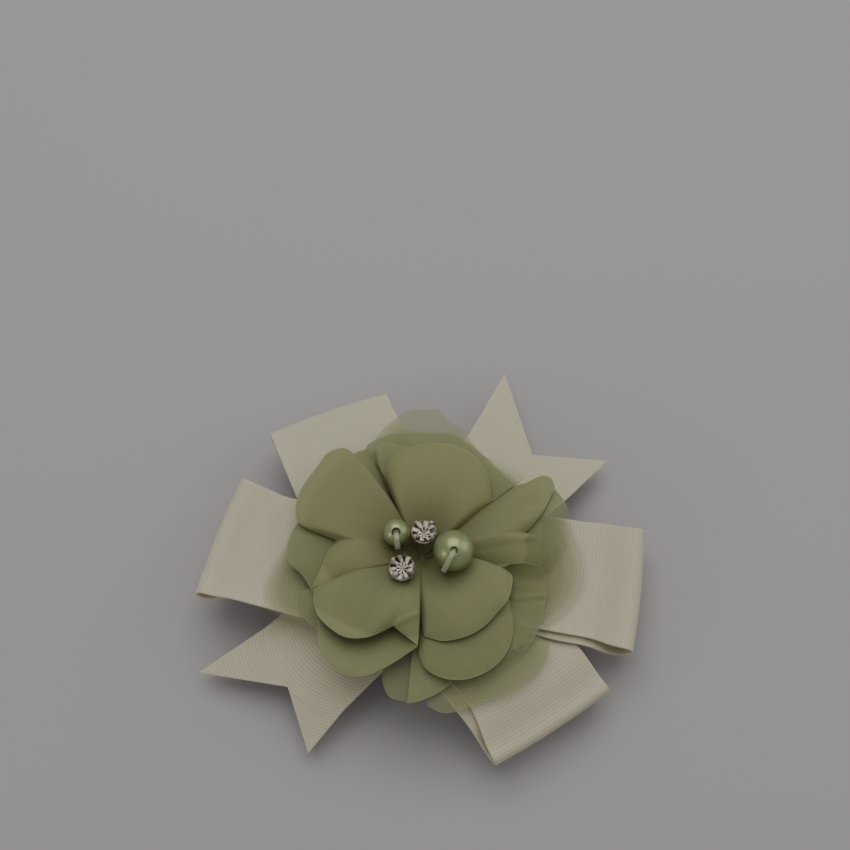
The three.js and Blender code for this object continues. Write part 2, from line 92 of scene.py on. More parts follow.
def mesh_piece(name, points, faces, smooth=True):
    """One mesh object at the origin, from an array of points and an array of face corners."""
    mesh = bpy.data.meshes.new(name)
    mesh.from_pydata(points.tolist(), [], [list(face) for face in faces])
    mesh.polygons.foreach_set("use_smooth", [smooth] * len(mesh.polygons))
    mesh.update()
    piece = bpy.data.objects.new(name, mesh)
    bpy.context.collection.objects.link(piece)
    return piece


def finish_of(name, color, roughness, **sockets):
    """A material with a Principled shader; the other settings are its sockets by name."""
    finish = bpy.data.materials.new(name)
    finish.use_nodes = True
    shader = finish.node_tree.nodes["Principled BSDF"]
    shader.inputs["Base Color"].default_value = (*color, 1)
    shader.inputs["Roughness"].default_value = roughness
    for socket, value in sockets.items():
        shader.inputs[socket.replace("_", " ")].default_value = value
    return finish


table_corners = TABLE_HALF * np.array([[-1, -1, 0], [1, -1, 0], [1, 1, 0], [-1, 1, 0]])
table = mesh_piece("table_top", table_corners - [0, 0, TABLE_DROP], [[0, 1, 2, 3]])
table.data.materials.append(finish_of("pale_table", (0.40, 0.375, 0.385), 0.9))


# ---------------------------------------------------------------- woven ribbon
# Ivory grosgrain, 24 mm wide and under half a millimetre thick. Its cross ribs are 0.65 mm
# apart and stand up on both faces; the fine warp threads run over them along its length.
RIB_PITCH = 0.65
RIB_HEIGHT = 0.042
STEPS_PER_RIB = 6
RIBBON_THICKNESS = 0.36
SELVAGE = 0.5
SELVAGE_CORD = {"place": 0.25, "width": 0.15, "height": 0.1}


def shader_part(finish, kind, sockets, **settings):
    """One node of a material: a socket gets a value, or a link where it is given an output."""
    part = finish.node_tree.nodes.new("ShaderNode" + kind)
    for name, setting in settings.items():
        setattr(part, name, setting)
    for socket, value in sockets.items():
        if isinstance(value, bpy.types.NodeSocket):
            finish.node_tree.links.new(value, part.inputs[socket])
        else:
            part.inputs[socket].default_value = value
    return part


def flat_place(finish):
    """Where a point lies on the flat cloth, from the UV map."""
    return shader_part(finish, "UVMap", {}, uv_map="weave").outputs["UV"]


def stretched(finish, place, scale):
    """A place multiplied by a scale along each side."""
    return shader_part(finish, "Mapping", {"Vector": place, "Scale": scale}).outputs["Vector"]


def clouds(finish, place, scale, detail, roughness=0.5):
    """Soft noise over a place."""
    sockets = {"Vector": place, "Scale": scale, "Detail": detail, "Roughness": roughness}
    return shader_part(finish, "TexNoise", sockets).outputs["Fac"]


def shades(finish, number, *stops, blend="LINEAR"):
    """The colour that a number picks between stops, each a position and a colour."""
    ramp = shader_part(finish, "ValToRGB", {"Fac": number})
    ramp.color_ramp.interpolation = blend
    marks = ramp.color_ramp.elements
    marks[0].position = stops[0][0]
    marks[1].position = stops[-1][0]
    for position, _ in stops[1:-1]:
        marks.new(position)
    for mark, (_, color) in zip(marks, stops):
        mark.color = (*color, 1)
    return ramp.outputs["Color"]


def multiplied(finish, first, second):
    """Two colours multiplied; a Mix node takes colours at sockets 6 and 7 and gives one at 2."""
    sockets = {"Factor": 1.0, 6: first, 7: second}
    return shader_part(finish, "Mix", sockets, data_type="RGBA", blend_type="MULTIPLY").outputs[2]


def surfaced(finish, color, height=None, strength=0.0, depth=0.0001):
    """The finish with a colour and, where there is a height, a bump of that strength and depth."""
    shader = finish.node_tree.nodes["Principled BSDF"]
    finish.node_tree.links.new(color, shader.inputs["Base Color"])
    if height is not None:
        bump = shader_part(finish, "Bump", {"Height": height, "Strength": strength, "Distance": depth})
        finish.node_tree.links.new(bump.outputs["Normal"], shader.inputs["Normal"])
    return finish


def ribbon_finish(name, groove_shade):
    """Ivory yarn, translucent: faint slub along the ribs from noise, painted groove shade, warp bump.

    The painted groove shade lies where |sin(pi y / pitch)| is small, y being the running length.
    """
    finish = finish_of(
        name, (0.60, 0.56, 0.43), 0.6, Sheen_Weight=0.15, Sheen_Roughness=0.4,
        Subsurface_Weight=0.4, Subsurface_Scale=0.0025, Subsurface_Radius=(1.0, 0.9, 0.7),
    )
    weave = flat_place(finish)
    slub = clouds(finish, stretched(finish, weave, (0.35, 3.0, 1.0)), scale=0.7, detail=4.0)
    yarn = shades(finish, slub, (0.25, (0.55, 0.505, 0.345)), (0.75, (0.60, 0.552, 0.38)))
    run = shader_part(finish, "SeparateXYZ", {"Vector": weave}).outputs["Y"]
    phase = shader_part(finish, "Math", {0: run, 1: math.pi / RIB_PITCH}, operation="MULTIPLY")
    wave = shader_part(finish, "Math", {0: phase.outputs["Value"]}, operation="SINE")
    rib = shader_part(finish, "Math", {0: wave.outputs["Value"]}, operation="ABSOLUTE")
    # painted shade: the colour darkens in the grooves between the ribs
    ribs = shades(finish, rib.outputs["Value"], (0.05, (groove_shade, groove_shade, groove_shade)), (0.75, (1, 1, 1)))
    warp = {"Vector": weave, "Scale": 1.6, "Distortion": 0.6}
    threads = shader_part(finish, "TexWave", warp, wave_type="BANDS", bands_direction="X")
    return surfaced(finish, multiplied(finish, yarn, ribs), threads.outputs["Fac"], strength=0.12)


def smoothstep(x, low, high):
    """0 below low, 1 above high, and 3t^2 - 2t^3 between."""
    t = np.clip((x - low) / (high - low), 0, 1)
    return t * t * (3 - 2 * t)


def numbered(rows, columns, start=0):
    """The numbers of a grid of points, which begin at start."""
    return np.arange(rows * columns).reshape(rows, columns) + start


def cloth_faces(at):
    """Face corners of a grid of point numbers."""
    return np.stack([at[:-1, :-1], at[1:, :-1], at[1:, 1:], at[:-1, 1:]], -1).reshape(-1, 4)


def unit(ways):
    """Ways of length one."""
    return ways / np.maximum(np.linalg.norm(ways, axis=-1, keepdims=True), 1e-9)


def cloth_piece(name, points, faces, thickness, weave):
    """A closed sheet round an open surface, given as points in millimetres and four-cornered faces.

    A point's normal is the sum of its faces' diagonals crossed. The points are moved half the
    thickness along it for the outer side and back for the inner one, and the edges that have a
    face on one side only get a rim. weave holds each point's place on the flat cloth, in
    millimetres, and becomes the UV map.
    """
    corner = points[faces]
    crossed = np.cross(corner[:, 2] - corner[:, 0], corner[:, 3] - corner[:, 1])
    normal = np.zeros_like(points)
    for k in range(4):
        np.add.at(normal, faces[:, k], crossed)
    lift = unit(normal) * np.broadcast_to(thickness, len(points))[:, None] / 2
    back = len(points)
    edges = np.concatenate([faces[:, [k, (k + 1) % 4]] for k in range(4)])
    there = edges @ [back, 1]
    here = edges[:, ::-1] @ [back, 1]
    border = edges[~np.isin(there, here)]
    rim = np.stack([border[:, 1], border[:, 0], border[:, 0] + back, border[:, 1] + back], -1)
    faces = np.concatenate([faces, faces[:, ::-1] + back, rim])
    piece = mesh_piece(name, np.concatenate([points + lift, points - lift]) * MM, faces)
    spots = np.concatenate([weave, weave])[faces.reshape(-1)]
    piece.data.uv_layers.new(name="weave").data.foreach_set("uv", spots.ravel())
    return piece


def along(points):
    """Running length of a line of points."""
    step = np.linalg.norm(np.diff(points, axis=0), axis=1)
    return np.concatenate([[0], np.cumsum(step)])


def rib_swell(run, edge):
    """Thickness of ribbed cloth at a running length and a distance from the nearest selvage.

    It swells and shrinks as the absolute sine of the length over the pitch, has a fine cord
    just inside the selvage, and thins to a round edge.
    """
    wave = np.abs(np.sin(np.pi * run / RIB_PITCH))
    swell = RIBBON_THICKNESS + 2 * RIB_HEIGHT * (wave - 0.5) * smoothstep(edge, 0, SELVAGE)
    cord = np.exp(-(((edge - SELVAGE_CORD["place"]) / SELVAGE_CORD["width"]) ** 2))
    swell = swell + SELVAGE_CORD["height"] * cord * (0.6 + 0.4 * wave)
    return swell * (0.5 + 0.5 * smoothstep(edge, -0.05, 0.1))


def thread_columns(width, count=13):
    """Distances across a ribbon: close together at both selvages, even between them."""
    side = np.array([0, 0.1, 0.3])
    between = np.linspace(SELVAGE, width - SELVAGE, count)
    return np.concatenate([side, between, width - side[::-1]])


def rib_rows(length):
    """Row shares along a stretch of cloth, a fixed number to each rib."""
    return np.linspace(0, 1, STEPS_PER_RIB * max(int(round(length / RIB_PITCH)), 1) + 1)


# Two copies that differ only in the painted shade in the grooves: 14 per cent darker on the bow loops
# and the band, 24 per cent on the tails.
ivory_grosgrain = ribbon_finish("ivory_grosgrain", 0.86)
ivory_grosgrain_deep_groove_shade = ribbon_finish("ivory_grosgrain_deep_groove_shade", 0.76)


# ---------------------------------------------------------------- tail strip
# The lowest ribbon: one straight length through the middle, with both ends cut in a
# swallow-tail. It lies on the felt and its tips droop towards the table; gathered in the
# middle, its ribs bow outwards like rings round the flower.
TAIL_ENDS = {
    "left": {
        "rows": [
            [[-7, 7, 9.2], [0, 0, 9.2], [7, -7, 9.2]],
            [[-19.5, -2.7, 9.0], [-13.8, -11.2, 8.9], [-5, -16.8, 9.0]],
            [[-29, -10.2, 7.3], [-24.2, -20.8, 6.4], [-14, -25, 6.3]],
        ],
        "tips": [[-41.2, -17.4, 3.4], [-20.3, -32, 3.4]],
    },
    "right": {
        "rows": [
            [[7, -7, 9.2], [0, 0, 9.2], [-7, 7, 9.2]],
            [[19.5, 7.2, 9.0], [13.6, 16, 8.9], [4.5, 21.8, 9.0]],
            [[28.4, 15.8, 7.3], [21.8, 25, 7.2], [9.7, 30.4, 6.9]],
        ],
        "tips": [[37.1, 25.4, 3.4], [17.2, 45.5, 3.4]],
    },
}
TAIL_LINE_STEPS = 91
TAIL_HALF_THREADS = 7
TIP_BLUNTNESS = 0.006


def smooth_line(points, count):
    """A curve through points: cubic steps whose slopes suit centripetal spacing."""
    gaps = np.linalg.norm(np.diff(points, axis=0), axis=1) ** 0.5
    knots = np.concatenate([[0], np.cumsum(np.maximum(gaps, 1e-6))])
    slopes = np.gradient(points, knots, axis=0, edge_order=1)
    spot = np.linspace(0, len(points) - 1, count)
    low = np.clip(spot.astype(int), 0, len(points) - 2)
    t = (spot - low)[:, None]
    width = (knots[low + 1] - knots[low])[:, None]
    start = (2 * t**3 - 3 * t**2 + 1) * points[low] + (t**3 - 2 * t**2 + t) * width * slopes[low]
    end = (3 * t**2 - 2 * t**3) * points[low + 1] + (t**3 - t**2) * width * slopes[low + 1]
    return start + end


def tail_piece(end, rows, tips):
    """One half of the tail strip, from the middle out to its two tips.

    Body: a cross line is the parabola through its left, middle and right point, and the three
    run out along smooth curves. Prongs: from the last cross line to a tip, the outer edge and
    the cut edge run straight; a rib joins them and keeps (1 - s)^2 of the first one's bow.
    """
    rows = np.array(rows, dtype=float)
    width = along(rows[-1])[-1]
    side = thread_columns(width / 2, TAIL_HALF_THREADS)
    half = len(side)
    side = np.concatenate([side, width / 2 + side[1:]])
    t = (side / width)[None, :, None]
    lead = [smooth_line(rows[:, k], TAIL_LINE_STEPS) for k in range(3)]
    length = along(lead[1])
    reach = length[-1]
    run = rib_rows(reach) * reach
    left, middle, right = (
        np.stack([np.interp(run, length, line[:, k]) for k in range(3)], -1)[:, None] for line in lead
    )
    body = left * (1 - t) * (1 - 2 * t) + middle * 4 * t * (1 - t) + right * t * (2 * t - 1)
    across, run = np.meshgrid(side, run)
    grids = [body.reshape(-1, 3)]
    spots = [np.stack([across, run], -1).reshape(-1, 2)]
    edge = [np.minimum(across, width - across).ravel()]
    numbers = numbered(*body.shape[:2])
    faces = [cloth_faces(numbers)]
    for tip, columns, outer in ((tips[0], slice(0, half), 0), (tips[1], slice(half - 1, None), -1)):
        first = body[-1, columns]
        way = np.linalg.norm(tip - first[outer])
        s = rib_rows(way)[1:, None, None] * (1 - TIP_BLUNTNESS)
        u = (side[columns] - side[columns][0]) / (side[columns][-1] - side[columns][0])
        chord = first[0] + (first[-1] - first[0]) * u[:, None]
        prong = chord + (tip - chord) * s + (first - chord) * (1 - s) ** 2
        new = numbered(*prong.shape[:2], start=sum(len(grid) for grid in grids))
        faces.append(cloth_faces(np.concatenate([numbers[-1:, columns], new])))
        grids.append(prong.reshape(-1, 3))
        across, run = np.meshgrid(side[columns], reach + way * s[:, 0, 0])
        spots.append(np.stack([across, run], -1).reshape(-1, 2))
        edge.append((np.minimum(u, 1 - u) * width / 2 * (1 - s[..., 0])).ravel())
    weave = np.concatenate(spots)
    swell = rib_swell(weave[:, 1], np.concatenate(edge))
    points = np.concatenate(grids)
    tail = cloth_piece(f"ribbon_tail_{end}", points, np.concatenate(faces), swell, weave)
    tail.data.materials.append(ivory_grosgrain_deep_groove_shade)
    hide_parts("tail_strip")
    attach(tail, "root")


for end, shape in TAIL_ENDS.items():
    tail_piece(end, **shape)


# ---------------------------------------------------------------- bow loops
# Two more lengths of the same ribbon, each folded into a loop at both ends with its raw ends
# meeting under the middle, laid over the tails one after the other.
BOW_MIDDLE = 10.0
BOW_HALF = 12.2
BOW_WIDENS = (3, 18)
LOWER_LET_OUT = (14, 27)
DIAGONAL_HEIGHT = 10.2
SIDE_HEIGHT = 12.2
RUNS_APART = 1.0
END_GAP = 0.4
LOOP_INSET = 0.3
CROSS_POINTS = 13
FLAT_STEPS = 30
SLOPE_STEPS = 40
BEND_STEPS = 60


def turned(turn, radius, height):
    """Points at angles in radians round the Z axis, at a radius and a height."""
    return np.stack(np.broadcast_arrays(radius * np.cos(turn), radius * np.sin(turn), height), -1)


def polar(angle, distance, height):
    """Points at angles in degrees from +X and distances from the flower's axis."""
    return turned(np.radians(angle), distance, height)


def bezier(a, b, c, d):
    """A cubic curve from a to d with b and c as its handles."""
    t = np.linspace(0, 1, SLOPE_STEPS)[:, None]
    a, b, c, d = (np.array(p, dtype=float) for p in (a, b, c, d))
    return (1 - t) ** 3 * a + 3 * (1 - t) ** 2 * t * b + 3 * (1 - t) * t**2 * c + t**3 * d


def level_run(start, end, height):
    """Even steps from one distance out to another, at one height."""
    return np.linspace((start, height), (end, height), FLAT_STEPS)


def loop_path(arm, height):
    """Steps of one loop as distance out, height and share of the upper run.

    The lower run leaves flat and drops in a cubic curve, the turn is a half circle, and the
    upper run climbs back in another cubic curve.
    """
    flat, end, bend = arm["flat"], arm["end"], arm["bend"]
    turn = arm["reach"] - LOOP_INSET - bend
    free = turn - flat
    low = end - bend
    high = end + bend
    top = height + RUNS_APART
    fall = bezier((flat, height), (flat + 0.5 * free, height), (turn - 0.35 * free, low), (turn, low))
    rise = bezier((turn, high), (turn - 0.4 * free, high), (flat + 0.5 * free, top), (flat, top))
    swing = np.linspace(-math.pi / 2, math.pi / 2, BEND_STEPS)
    round_end = np.stack([turn + bend * np.cos(swing), end + bend * np.sin(swing)], -1)
    out = level_run(END_GAP, flat, height)
    home = level_run(flat, 0, top)
    path = np.concatenate([out[:-1], fall[:-1], round_end[:-1], rise[:-1], home])
    lower = np.zeros(FLAT_STEPS + SLOPE_STEPS - 2)
    turning = np.linspace(0, 1, BEND_STEPS - 1)
    upper = np.concatenate([lower, turning, np.ones(SLOPE_STEPS - 1 + FLAT_STEPS)])
    return np.concatenate([path, upper[:, None]], 1)


def cross_lines(arm, path, sign):
    """The ribbon's cross lines along a loop.

    Each line's middle is the step's distance out along the arm's heading, shifted to the
    arm's own end; the line turns from the bow's facing at the middle to the loop's at the
    end, widens from the cinched middle, and is drawn in on one edge near the flower; the lower
    run is let out at its front.
    """
    out, height, upper = (path[:, k : k + 1] for k in range(3))
    share = smoothstep(out, 0, arm["reach"] - 4)
    facing = arm["centre"] + (arm["facing"] - arm["centre"]) * share
    opened = smoothstep(out, *BOW_WIDENS)
    freed = smoothstep(out, arm["flat"] - 2, arm["reach"])
    half = BOW_MIDDLE + (BOW_HALF - BOW_MIDDLE) * opened
    front = half - arm["front"] * upper * opened * (1 - freed)
    front = front + arm["under"] * (1 - upper) * smoothstep(out, *LOWER_LET_OUT) * (1 - freed**3)
    back = half - arm["back"] * opened * (1 - freed)
    drift = polar(arm["angle"], arm["reach"], 0) - polar(arm["heading"], arm["reach"], 0)
    middle = polar(arm["heading"], out, height) + drift * opened[..., None]
    across = np.linspace(0, 1, CROSS_POINTS)
    aside = sign * (-front + (front + back) * across)
    bow = 2 * share * across * (1 - across)
    sag = arm["sag"] * np.sin(math.pi * across) * freed * (upper - 0.5)
    line = middle + polar(facing + 90, aside, -arm["lean"] * freed * across + sag)
    return line + polar(facing, bow, 0)


def bow_piece(which, near, far, height):
    """One ribbon with a loop at each end: out and back on one side, then on the other.

    Its points are the cross lines spread again by running length, a few steps to each rib.
    """
    first = cross_lines(near, loop_path(near, height), 1)
    second = cross_lines(far, loop_path(far, height)[::-1], -1)
    lines = np.concatenate([first, second[1:]])[::-1]
    length = along(lines[:, lines.shape[1] // 2])
    width = along(lines[len(lines) // 2])[-1]
    side = thread_columns(width)
    share = side / width * (lines.shape[1] - 1)
    low = np.clip(share.astype(int), 0, lines.shape[1] - 2)
    spread = lines[:, low] + (lines[:, low + 1] - lines[:, low]) * (share - low)[:, None]
    across, run = np.meshgrid(side, rib_rows(length[-1]) * length[-1])
    columns = spread.reshape(len(lines), -1).T
    points = np.stack([np.interp(run[:, 0], length, column) for column in columns], -1).reshape(-1, 3)
    swell = rib_swell(run, np.minimum(across, width - across)).ravel()
    weave = np.stack([across, run], -1).reshape(-1, 2)
    bow = cloth_piece(f"ribbon_bow_{which}", points, cloth_faces(numbered(*run.shape)), swell, weave)
    bow.data.materials.append(ivory_grosgrain)
    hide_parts(f"bow_{which}")
    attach(bow, "root")


bow_piece(
    "diagonal",
    {"angle": -50.5, "reach": 36.8, "centre": -55.6, "heading": -52, "facing": -58, "front": 2.2,
     "back": 0, "lean": 0, "flat": 27, "end": 7.6, "bend": 1.3, "sag": 0.5, "under": 0},
    {"angle": 119.3, "reach": 38.6, "centre": 124.4, "heading": 113, "facing": 111.5, "front": 0,
     "back": 0, "lean": 0, "flat": 27, "end": 7.9, "bend": 2, "sag": 0.5, "under": 0},
    DIAGONAL_HEIGHT,
)
bow_piece(
    "side",
    {"angle": -4.5, "reach": 40.6, "centre": -7.6, "heading": -10.3, "facing": -10.3, "front": 0,
     "back": 2.6, "lean": 2, "flat": 30, "end": 8.8, "bend": 1.8, "sag": 0.3, "under": 1.2},
    {"angle": 169.2, "reach": 39.3, "centre": 172.4, "heading": 164.7, "facing": 164.7, "front": 0,
     "back": 2.8, "lean": 2, "flat": 30, "end": 9.8, "bend": 1.9, "sag": 0.2, "under": -0.7},
    SIDE_HEIGHT,
)


# ---------------------------------------------------------------- petals
# Heat-cut sage chiffon, under a fifth of a millimetre thick. Each petal fans out from its
# gathered root at the flower's core; its sides plunge into the creases and its rim turns down.
PETAL_THICKNESS = 0.16
ROOT_RADIUS = 0.7
ROOT_DIP = 1.2
ROOT_DIP_REACH = 0.16
RIM_CURL = 0.35
THIN_SHIFT = 0.25
THIN_BLEND = 0.1
PETAL_ROWS = 46
RIM_ROWS = [0.99, 0.996, 1.0]
STEPS_PER_RIM_POINT = 10
RIPPLES = ((0.16, 5, 4, 1), (0.07, 17, -3, 2))
WEAVE_SHIFT = 40
NARROWEST_CLOTH = 10.5
# The darker sage is painted shade at the petals' gathered roots, deep in the flower; the paler one is
# the chiffon near the rim.
SAGE_ROOT_SHADE = np.array([0.125, 0.13, 0.044])
SAGE_PALE = np.array([0.24, 0.254, 0.114])
WARM = np.array([1.0, 0.955, 0.92])


def real_place(finish):
    """Where a point lies on the corsage."""
    return shader_part(finish, "TexCoord", {}).outputs["Object"]


def kept_number(finish, name):
    """The number that the mesh keeps at each point or face under a name."""
    return shader_part(finish, "Attribute", {}, attribute_name=name).outputs["Fac"]


def chiffon_finish(name, dark, pale, sheer):
    """Fine plain weave, sheer: tone by place times faint streaks along the thread, and bump.

    The tone goes from dark at the gathered root to pale near the rim, by the attribute
    toward_rim; the dark is painted shade of the deep centre. It is paler still on the melted
    edge. The dye clouds slightly between brown and green over a centimetre or two.
    """
    finish = finish_of(
        name, pale, 0.6, Sheen_Weight=0.2, Sheen_Roughness=0.4, Sheen_Tint=(0.8, 0.95, 0.65, 1),
        Alpha=sheer,
    )
    rim = kept_number(finish, "toward_rim")
    # painted shade: the colour darkens towards the gathered root
    tone = shades(finish, rim, (0.18, dark), (0.9, pale), (0.988, pale), (0.997, 1.25 * pale))
    thread = stretched(finish, flat_place(finish), (2.2, 0.09, 1.0))
    streaks = clouds(finish, thread, scale=1.0, detail=3.0)
    faint = shades(finish, streaks, (0.3, (0.92, 0.92, 0.91)), (0.7, (1, 1, 1)))
    dye = clouds(finish, real_place(finish), scale=75.0, detail=1.0)
    hue = shades(finish, dye, (0.35, (1.0, 0.985, 0.965)), (0.65, (0.98, 1.0, 0.985)))
    color = multiplied(finish, multiplied(finish, tone, faint), hue)
    return surfaced(finish, color, clouds(finish, thread, scale=6.0, detail=2.0), strength=0.06)


sage_chiffon = chiffon_finish("sage_chiffon", SAGE_ROOT_SHADE, SAGE_PALE, 0.93)
warm_chiffon = chiffon_finish("sage_chiffon_warm", WARM * SAGE_ROOT_SHADE, WARM * SAGE_PALE, 0.93)
under_chiffon = chiffon_finish("sage_chiffon_under", 0.85 * SAGE_ROOT_SHADE, 1.05 * SAGE_PALE, 0.7)
half_chiffon = chiffon_finish("sage_chiffon_single", SAGE_ROOT_SHADE, 1.1 * SAGE_PALE, 0.5)
sheer_chiffon = chiffon_finish("sage_chiffon_sheer", SAGE_ROOT_SHADE, 1.2 * SAGE_PALE, 0.36)
thinned = [
    chiffon_finish(f"sage_chiffon_thinned_{sheer}", SAGE_ROOT_SHADE, 1.2 * SAGE_PALE, sheer / 100)
    for sheer in (30, 24, 18, 12, 6)
]
RIM_THINS = list(zip((0.889, 0.911, 0.933, 0.956, 0.978), thinned))


def petal_piece(
    which, finish, slot, rim, root, root_height, lifts=(), puff=0.0, turn=1.0, square=8,
    bulge=(0, 0), phase=0.0, folds=(), thins=(), thin_to=2.0,
):
    """A petal as a grid of points between its root and its rim.

    A smooth curve runs through the rim's points, given as angle, distance and height; u runs
    along it and v from root to rim. In plan a point is a straight share v of the way, and the
    two sides bulge outwards. Its height follows s, its distance over that of a plain arc
    through the rim, so that notches in the rim leave no trace further in: root + (arc - root)
    s^turn + puff sin(pi s^1.25) (1 - |2u - 1|^square) - curl v^16, less the root's dip, with slow
    ripples; the rim's own height comes in with v^8. Each fold is a ridge between two places,
    given with its height and width. root holds angles at even steps across, and lifts what the
    root's height gains there. thins is a list of v and the sheerer finish that begins there; round
    thin_to across they run out.
    """
    rim = np.array(rim, dtype=float)
    count = STEPS_PER_RIM_POINT * (len(rim) - 1) + 1
    edge = smooth_line(polar(*rim.T), count)
    u = np.linspace(0, 1, count)
    steps = np.linspace(0, 1, len(root))
    lift = np.interp(u, steps, lifts) if lifts else 0
    start = polar(np.interp(u, steps, root), ROOT_RADIUS, root_height + lift)
    v = np.concatenate([np.linspace(0, 1, PETAL_ROWS)[:-1], RIM_ROWS])[:, None]
    grid = start + (edge - start) * v[..., None]
    aside = unit(np.cross(edge - start, [0, 0, 1]))
    aside = aside * (bulge[0] * (1 - u) ** 2 - bulge[1] * u**2)[:, None]
    grid = grid + aside * np.sin(math.pi * v**0.8)[..., None]
    distance = np.hypot(edge[:, 0], edge[:, 1])
    arc = np.polyval(np.polyfit(u, distance, 2), u)
    level = np.polyval(np.polyfit(u, edge[:, 2], 2), u)
    side = np.abs(2 * u - 1) ** square

    def dome(s):
        s = np.clip(s, 0, 1.15)
        rise = start[:, 2] + (level - start[:, 2]) * s**turn
        return rise + puff * np.sin(math.pi * np.minimum(s, 1) ** 1.25) * (1 - side)

    height = dome(np.hypot(grid[..., 0], grid[..., 1]) / arc)
    height = height + (edge[:, 2] - dome(distance / arc)) * v**8 - RIM_CURL * v**16
    height = height - ROOT_DIP * (1 - smoothstep(v, 0, ROOT_DIP_REACH))
    for size, across, out, shift in RIPPLES:
        height = height + size * np.sin(across * u + out * v + shift * phase) * v**2
    for first, last, size, width in folds:
        a = polar(*first, 0)[:2]
        b = polar(*last, 0)[:2]
        t = np.clip((grid[..., :2] - a) @ (b - a) / ((b - a) @ (b - a)), 0, 1)
        off = np.linalg.norm(grid[..., :2] - a - t[..., None] * (b - a), axis=-1)
        height = height + size * np.exp(-((off / width) ** 2))
    grid[..., 2] = height
    facing = math.radians(rim[len(rim) // 2, 0])
    ahead = np.array([math.cos(facing), math.sin(facing)])
    beside = np.array([-math.sin(facing), math.cos(facing)])
    weave = np.stack([grid[..., :2] @ beside, grid[..., :2] @ ahead], -1) + WEAVE_SHIFT
    at = numbered(*grid.shape[:2])
    points = grid.reshape(-1, 3)
    piece = cloth_piece(
        f"chiffon_{which}", points, cloth_faces(at), PETAL_THICKNESS, weave.reshape(-1, 2)
    )
    toward = piece.data.attributes.new("toward_rim", "FLOAT", "POINT")
    share = np.tile(np.broadcast_to(v, at.shape).ravel(), 2)
    toward.data.foreach_set("value", share)
    for cloth in [finish, *(thin for _, thin in thins)]:
        piece.data.materials.append(cloth)
    corners = np.empty(len(piece.data.loops), dtype=np.int32)
    piece.data.loops.foreach_get("vertex_index", corners)
    solid = THIN_SHIFT * smoothstep(u, thin_to - THIN_BLEND, thin_to + THIN_BLEND)
    sheerness = share - np.tile(np.broadcast_to(solid, at.shape).ravel(), 2)
    starts = [begin for begin, _ in thins]
    bands = np.searchsorted(starts, sheerness[corners].reshape(-1, 4).mean(1))
    piece.data.polygons.foreach_set("material_index", bands.astype(np.int32))
    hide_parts(f"petal_{which}")
    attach(piece, "root")
    wide = max(along(polar(rim[:, 0], arc[::STEPS_PER_RIM_POINT], 0))[-1], NARROWEST_CLOTH)


# The outer ring: single sheer petals that lie over the ribbons and let them shine through.
OUTER_HEIGHT = 15.225
OUTER = {"finish": sheer_chiffon, "slot": "chiffon_pale", "root_height": OUTER_HEIGHT}
petal_piece(
    "outer_back", **OUTER, root=(66, 110),
    rim=[[64, 25, 14.2], [69, 26.6, 14.2], [75.5, 28.8, 14.2], [80, 29.8, 14.1], [84, 31.9, 14],
         [90, 31.8, 14], [96, 31.4, 14], [100, 30, 14.1], [105, 28.4, 14.2], [109, 26.9, 14.2],
         [112, 24.5, 14.2]],
)
petal_piece(
    "outer_left_back", **OUTER, root=(116, 160),
    rim=[[114, 24, 14.1], [119, 25.4, 14.2], [130, 25.5, 14.3], [148, 24.5, 14.3], [164, 24.5, 14.3]],
)
petal_piece(
    "outer_left", **OUTER, thins=RIM_THINS, root=(166, 216),
    rim=[[168, 25, 14.3], [178, 26.9, 14.3], [186, 28.7, 14.2], [191, 29.3, 14.2], [197.5, 29, 14.2],
         [203, 26.6, 14.2], [208, 24.3, 14.3], [213, 21.8, 14.4]],
)
petal_piece(
    "outer_front", **OUTER, root=(222, 262),
    rim=[[250, 19.5, 14.3], [253, 23, 14.1], [257, 24.9, 14], [262, 25.3, 14], [267, 25.2, 14.1]],
)
petal_piece(
    "outer_front_right", **OUTER, root=(268, 316),
    rim=[[272, 25.8, 14.1], [278, 27.3, 14], [285, 27.4, 14], [292, 27.2, 14], [301, 28, 14],
         [311, 28.6, 14], [320, 28.4, 14], [326.5, 27.4, 14.1]],
)
petal_piece(
    "outer_right", **OUTER, root=(-38, 60),
    thins=list(zip((0.844, 0.867, 0.9, 0.933, 0.967), thinned)),
    rim=[[-28, 26, 14.3], [-20, 28, 14.2], [-11, 29.8, 14.2], [-3, 30.3, 14.2], [6, 29.7, 14.2],
         [15, 28.6, 14.1], [24, 27.4, 14.1], [32, 26, 14.1], [45, 24, 14.2], [59, 23.5, 14.3]],
)

# The third ring, seen where it reaches out between and past the upper petals.
THIRD = {"finish": under_chiffon, "slot": "chiffon_sage", "root_height": OUTER_HEIGHT + 1}
SINGLE = {"finish": half_chiffon, "slot": "chiffon_sage", "root_height": OUTER_HEIGHT + 1}
petal_piece(
    "third_back", **THIRD, root=(42, 119),
    rim=[[41, 23, 15.6], [51, 23.4, 15.4], [62, 24.5, 15.3], [70, 25.6, 15.2], [77, 26.6, 15.2],
         [87, 26.2, 15.2], [98, 26.5, 15.2], [106, 26.4, 15.2], [113, 25.8, 15.3], [117, 24.6, 15.3]],
)
petal_piece(
    "third_left", **THIRD, root=(118, 182), phase=1,
    rim=[[111, 24, 14.9], [117, 25.2, 15.1], [128, 24, 15.4], [145, 22.5, 15.5], [160, 22.5, 15.5],
         [175, 22.4, 15.4], [188, 21.2, 15.3]],
)
petal_piece(
    "third_front_left", **THIRD, root=(188, 248),
    rim=[[194, 22.5, 15.4], [205, 23.6, 15.3], [214, 22.6, 15.4], [228, 22.6, 15.4],
         [242, 22.4, 15.4], [253, 20, 15.5]],
)
petal_piece(
    "third_front", **THIRD, root=(262, 268), phase=2,
    rim=[[264.3, 25.9, 15.3], [270, 25.2, 15.2], [277.7, 23.9, 15.3], [283.5, 22.8, 15.4]],
)
